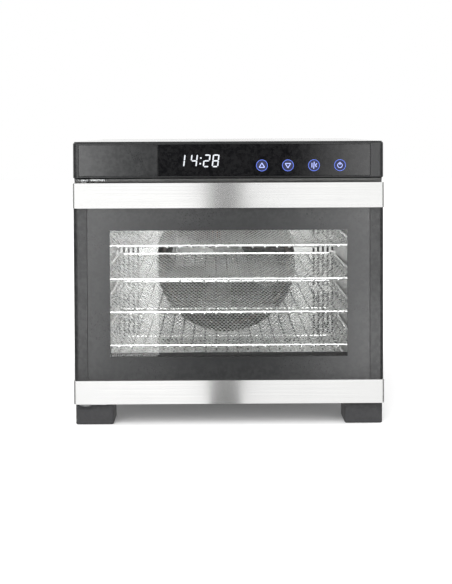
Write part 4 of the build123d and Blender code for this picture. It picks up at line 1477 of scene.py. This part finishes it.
class Studio:
    """The floor, the surroundings, the lights and the camera.

    Args:
        sizes: Where everything stands.
    """

    def __init__(self, sizes: StudioSizes) -> None:
        """Keeps the sizes.

        Args:
            sizes: Where everything stands.
        """
        self.sizes = sizes

    def _floor(self) -> None:
        """Makes the plain pale floor."""
        half = self.sizes.floor / 2.0
        steps = np.linspace(-half, half, 25)
        grid = np.stack(np.meshgrid(steps, steps, indexing="ij"), axis=-1)
        points = np.dstack([grid, np.full(grid.shape[:2], -self.sizes.floor_drop)])
        shape = Shape()
        shape.grid(points.transpose(1, 0, 2), False, False)
        material = bpy.data.materials.new("pale_floor")
        material.use_nodes = True
        material.node_tree.nodes.clear()
        w = NodeWriter(material.node_tree)
        pale = w.add("ShaderNodeBsdfDiffuse", {"Color": (*self.sizes.floor_colour, 1.0)})
        dim = w.add("ShaderNodeEmission", {"Strength": self.sizes.floor_reflected})
        glossy = w.add("ShaderNodeLightPath").outputs["Is Glossy Ray"]
        lift = w.add("ShaderNodeEmission", {"Strength": self.sizes.floor_lift})
        seen = w.add("ShaderNodeAddShader", {0: pale.outputs[0], 1: lift.outputs[0]})
        both = w.add("ShaderNodeMixShader", {0: glossy, 1: seen.outputs[0], 2: dim.outputs[0]})
        w.add("ShaderNodeOutputMaterial", {"Surface": both.outputs[0]})
        floor = shape.make("floor", material)

    def _surroundings(self) -> None:
        """Makes the world: white where it is looked at, softer where it lights and is reflected."""
        world = bpy.data.worlds.new("studio")
        world.use_nodes = True
        world.node_tree.nodes.clear()
        w = NodeWriter(world.node_tree)
        ray = w.add("ShaderNodeLightPath")
        direction = w.add("ShaderNodeTexCoord").outputs["Generated"]
        behind = w.add("ShaderNodeSeparateXYZ", {0: direction}).outputs["Y"]
        shade = w.remap(behind, *self.sizes.world_turn, *self.sizes.world_reflected)
        white = (1.0, 1.0, 1.0, 1.0)
        seen = w.add("ShaderNodeBackground", {"Color": white, "Strength": 1.0})
        glossy = w.add("ShaderNodeBackground", {"Color": white, "Strength": shade})
        lit = w.add("ShaderNodeBackground", {"Color": white, "Strength": self.sizes.world_lit})
        soft = w.add(
            "ShaderNodeMixShader", {0: ray.outputs["Is Glossy Ray"], 1: lit.outputs[0], 2: glossy.outputs[0]}
        )
        mixed = w.add(
            "ShaderNodeMixShader", {0: ray.outputs["Is Camera Ray"], 1: soft.outputs[0], 2: seen.outputs[0]}
        )
        w.add("ShaderNodeOutputWorld", {"Surface": mixed.outputs[0]})
        bpy.context.scene.world = world

    def _card(self, card: Card) -> None:
        """Makes one card. It adds its light to what is behind it, and only its receivers reflect it.

        Args:
            card: The card.
        """
        material = bpy.data.materials.new(card.name)
        material.use_nodes = True
        material.node_tree.nodes.clear()
        w = NodeWriter(material.node_tree)
        strength: Any = card.strength
        if card.ramp:
            place = w.add("ShaderNodeTexCoord").outputs["Object"]
            across = w.add("ShaderNodeSeparateXYZ", {0: place}).outputs["X"]
            strength = w.maths("MULTIPLY", w.remap(across, *card.ramp), card.strength)
        glow = w.add("ShaderNodeEmission", {"Strength": strength})
        clear = w.add("ShaderNodeBsdfTransparent")
        both = w.add("ShaderNodeAddShader", {0: glow.outputs[0], 1: clear.outputs[0]})
        w.add("ShaderNodeOutputMaterial", {"Surface": both.outputs[0]})
        shape = Shape()
        shape.add(np.array(card.corners), np.array([[0, 1, 2, 3]]))
        thing = shape.make(card.name, material)
        thing.visible_camera = False
        thing.visible_diffuse = False
        thing.visible_transmission = False
        thing.visible_shadow = False
        seen_by = bpy.data.collections.new(card.name)
        for name in card.seen.value:
            seen_by.objects.link(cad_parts[name])
        thing.light_linking.receiver_collection = seen_by

    def _area(
        self, name: str, place: Triple, aim: Triple, size: tuple[float, float], power: float
    ) -> bpy.types.Object:
        """Adds a soft light. Reflections don't see it unless that is turned on afterwards.

        Args:
            name: The light's name.
            place: Where it stands.
            aim: The point it faces.
            size: Its width and height.
            power: Its power in watts.

        Returns:
            The light.
        """
        data = bpy.data.lights.new(name, "AREA")
        data.shape = "RECTANGLE"
        data.size, data.size_y = size
        data.energy = power
        light = bpy.data.objects.new(name, data)
        light.location = place
        light.rotation_euler = (Vector(aim) - Vector(place)).to_track_quat("-Z", "Y").to_euler()
        light.visible_glossy = False
        light.visible_transmission = False
        bpy.context.scene.collection.objects.link(light)
        return light

    def light_inside(self, chamber: list[bpy.types.Object], trays: list[bpy.types.Object]) -> None:
        """Lights the trays and the drying chamber. The case casts no shadow in this light.

        Args:
            chamber: The pieces of the chamber.
            trays: The pieces of the trays.
        """
        reached = {kind: bpy.data.collections.new("lit_" + kind.name.lower()) for kind in Lit}
        walls = bpy.data.collections.new("walls_inside")
        for kind, pieces in ((Lit.TRAYS, trays), (Lit.CHAMBER, chamber)):
            for piece in pieces:
                reached[kind].objects.link(piece)
        for name in SHADING:
            walls.objects.link(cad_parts[name])
        for name, place, size, power, kind in self.sizes.inside:
            light = self._area(name, place, self.sizes.inside_aim, size, power)
            light.visible_glossy = True
            light.light_linking.receiver_collection = reached[kind]
            light.light_linking.blocker_collection = walls

    def _camera(self) -> None:
        """Makes the camera."""
        s = self.sizes
        data = bpy.data.cameras.new("camera")
        data.sensor_fit = "VERTICAL"
        data.sensor_height = 36.0
        data.lens = s.lens
        data.shift_y = s.shift
        camera = bpy.data.objects.new("camera", data)
        level = Euler((math.radians(90.0 + s.pitch), 0.0, math.radians(s.yaw)), "XYZ").to_matrix()
        spin = Matrix.Rotation(math.radians(s.roll), 3, "Z")
        camera.rotation_euler = (level @ spin).to_euler()
        camera.location = s.camera
        bpy.context.scene.collection.objects.link(camera)
        bpy.context.scene.camera = camera

    def build(self) -> None:
        """Makes everything that isn't part of the object."""
        bpy.context.scene.view_settings.view_transform = "Standard"
        self._floor()
        self._surroundings()
        for card in self.sizes.cards:
            self._card(card)
        for light in self.sizes.outside:
            self._area(*light)
        sun = bpy.data.lights.new("overhead", "SUN")
        sun.energy = self.sizes.overhead_power
        sun.angle = math.radians(self.sizes.overhead_spread)
        overhead = bpy.data.objects.new("overhead", sun)
        overhead.rotation_euler = (math.radians(self.sizes.overhead_tilt), 0.0, 0.0)
        overhead.visible_glossy = False
        bpy.context.scene.collection.objects.link(overhead)
        self._camera()
        log.info("studio: camera at %s", self.sizes.camera)


CHAMBER: tuple[str, ...] = (
    "liner_back",
    "liner_floor",
    "liner_left",
    "liner_right",
    "liner_top",
    "rack_left",
    "rack_right",
    "fan_shroud",
    "temperature_probe",
)
SHADING: tuple[str, ...] = ("fan_shroud", "fan_blade", "liner_back", "temperature_probe")


def main() -> None:
    """Builds the surroundings, then every piece, in order."""
    shelf = FinishShelf(ShaderGroups())
    studio = Studio(StudioSizes())
    studio.build()
    CarriedOver(shelf).build()
    trays = TrayWork(shelf, TraySizes())
    trays.build()
    shining = [piece for piece in trays.made if not piece.name.startswith("tray_supports")]
    studio.light_inside([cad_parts[name] for name in CHAMBER], shining)
    DisplayWork(shelf, DisplaySizes()).build()


if __name__ == "__main__":
    main()
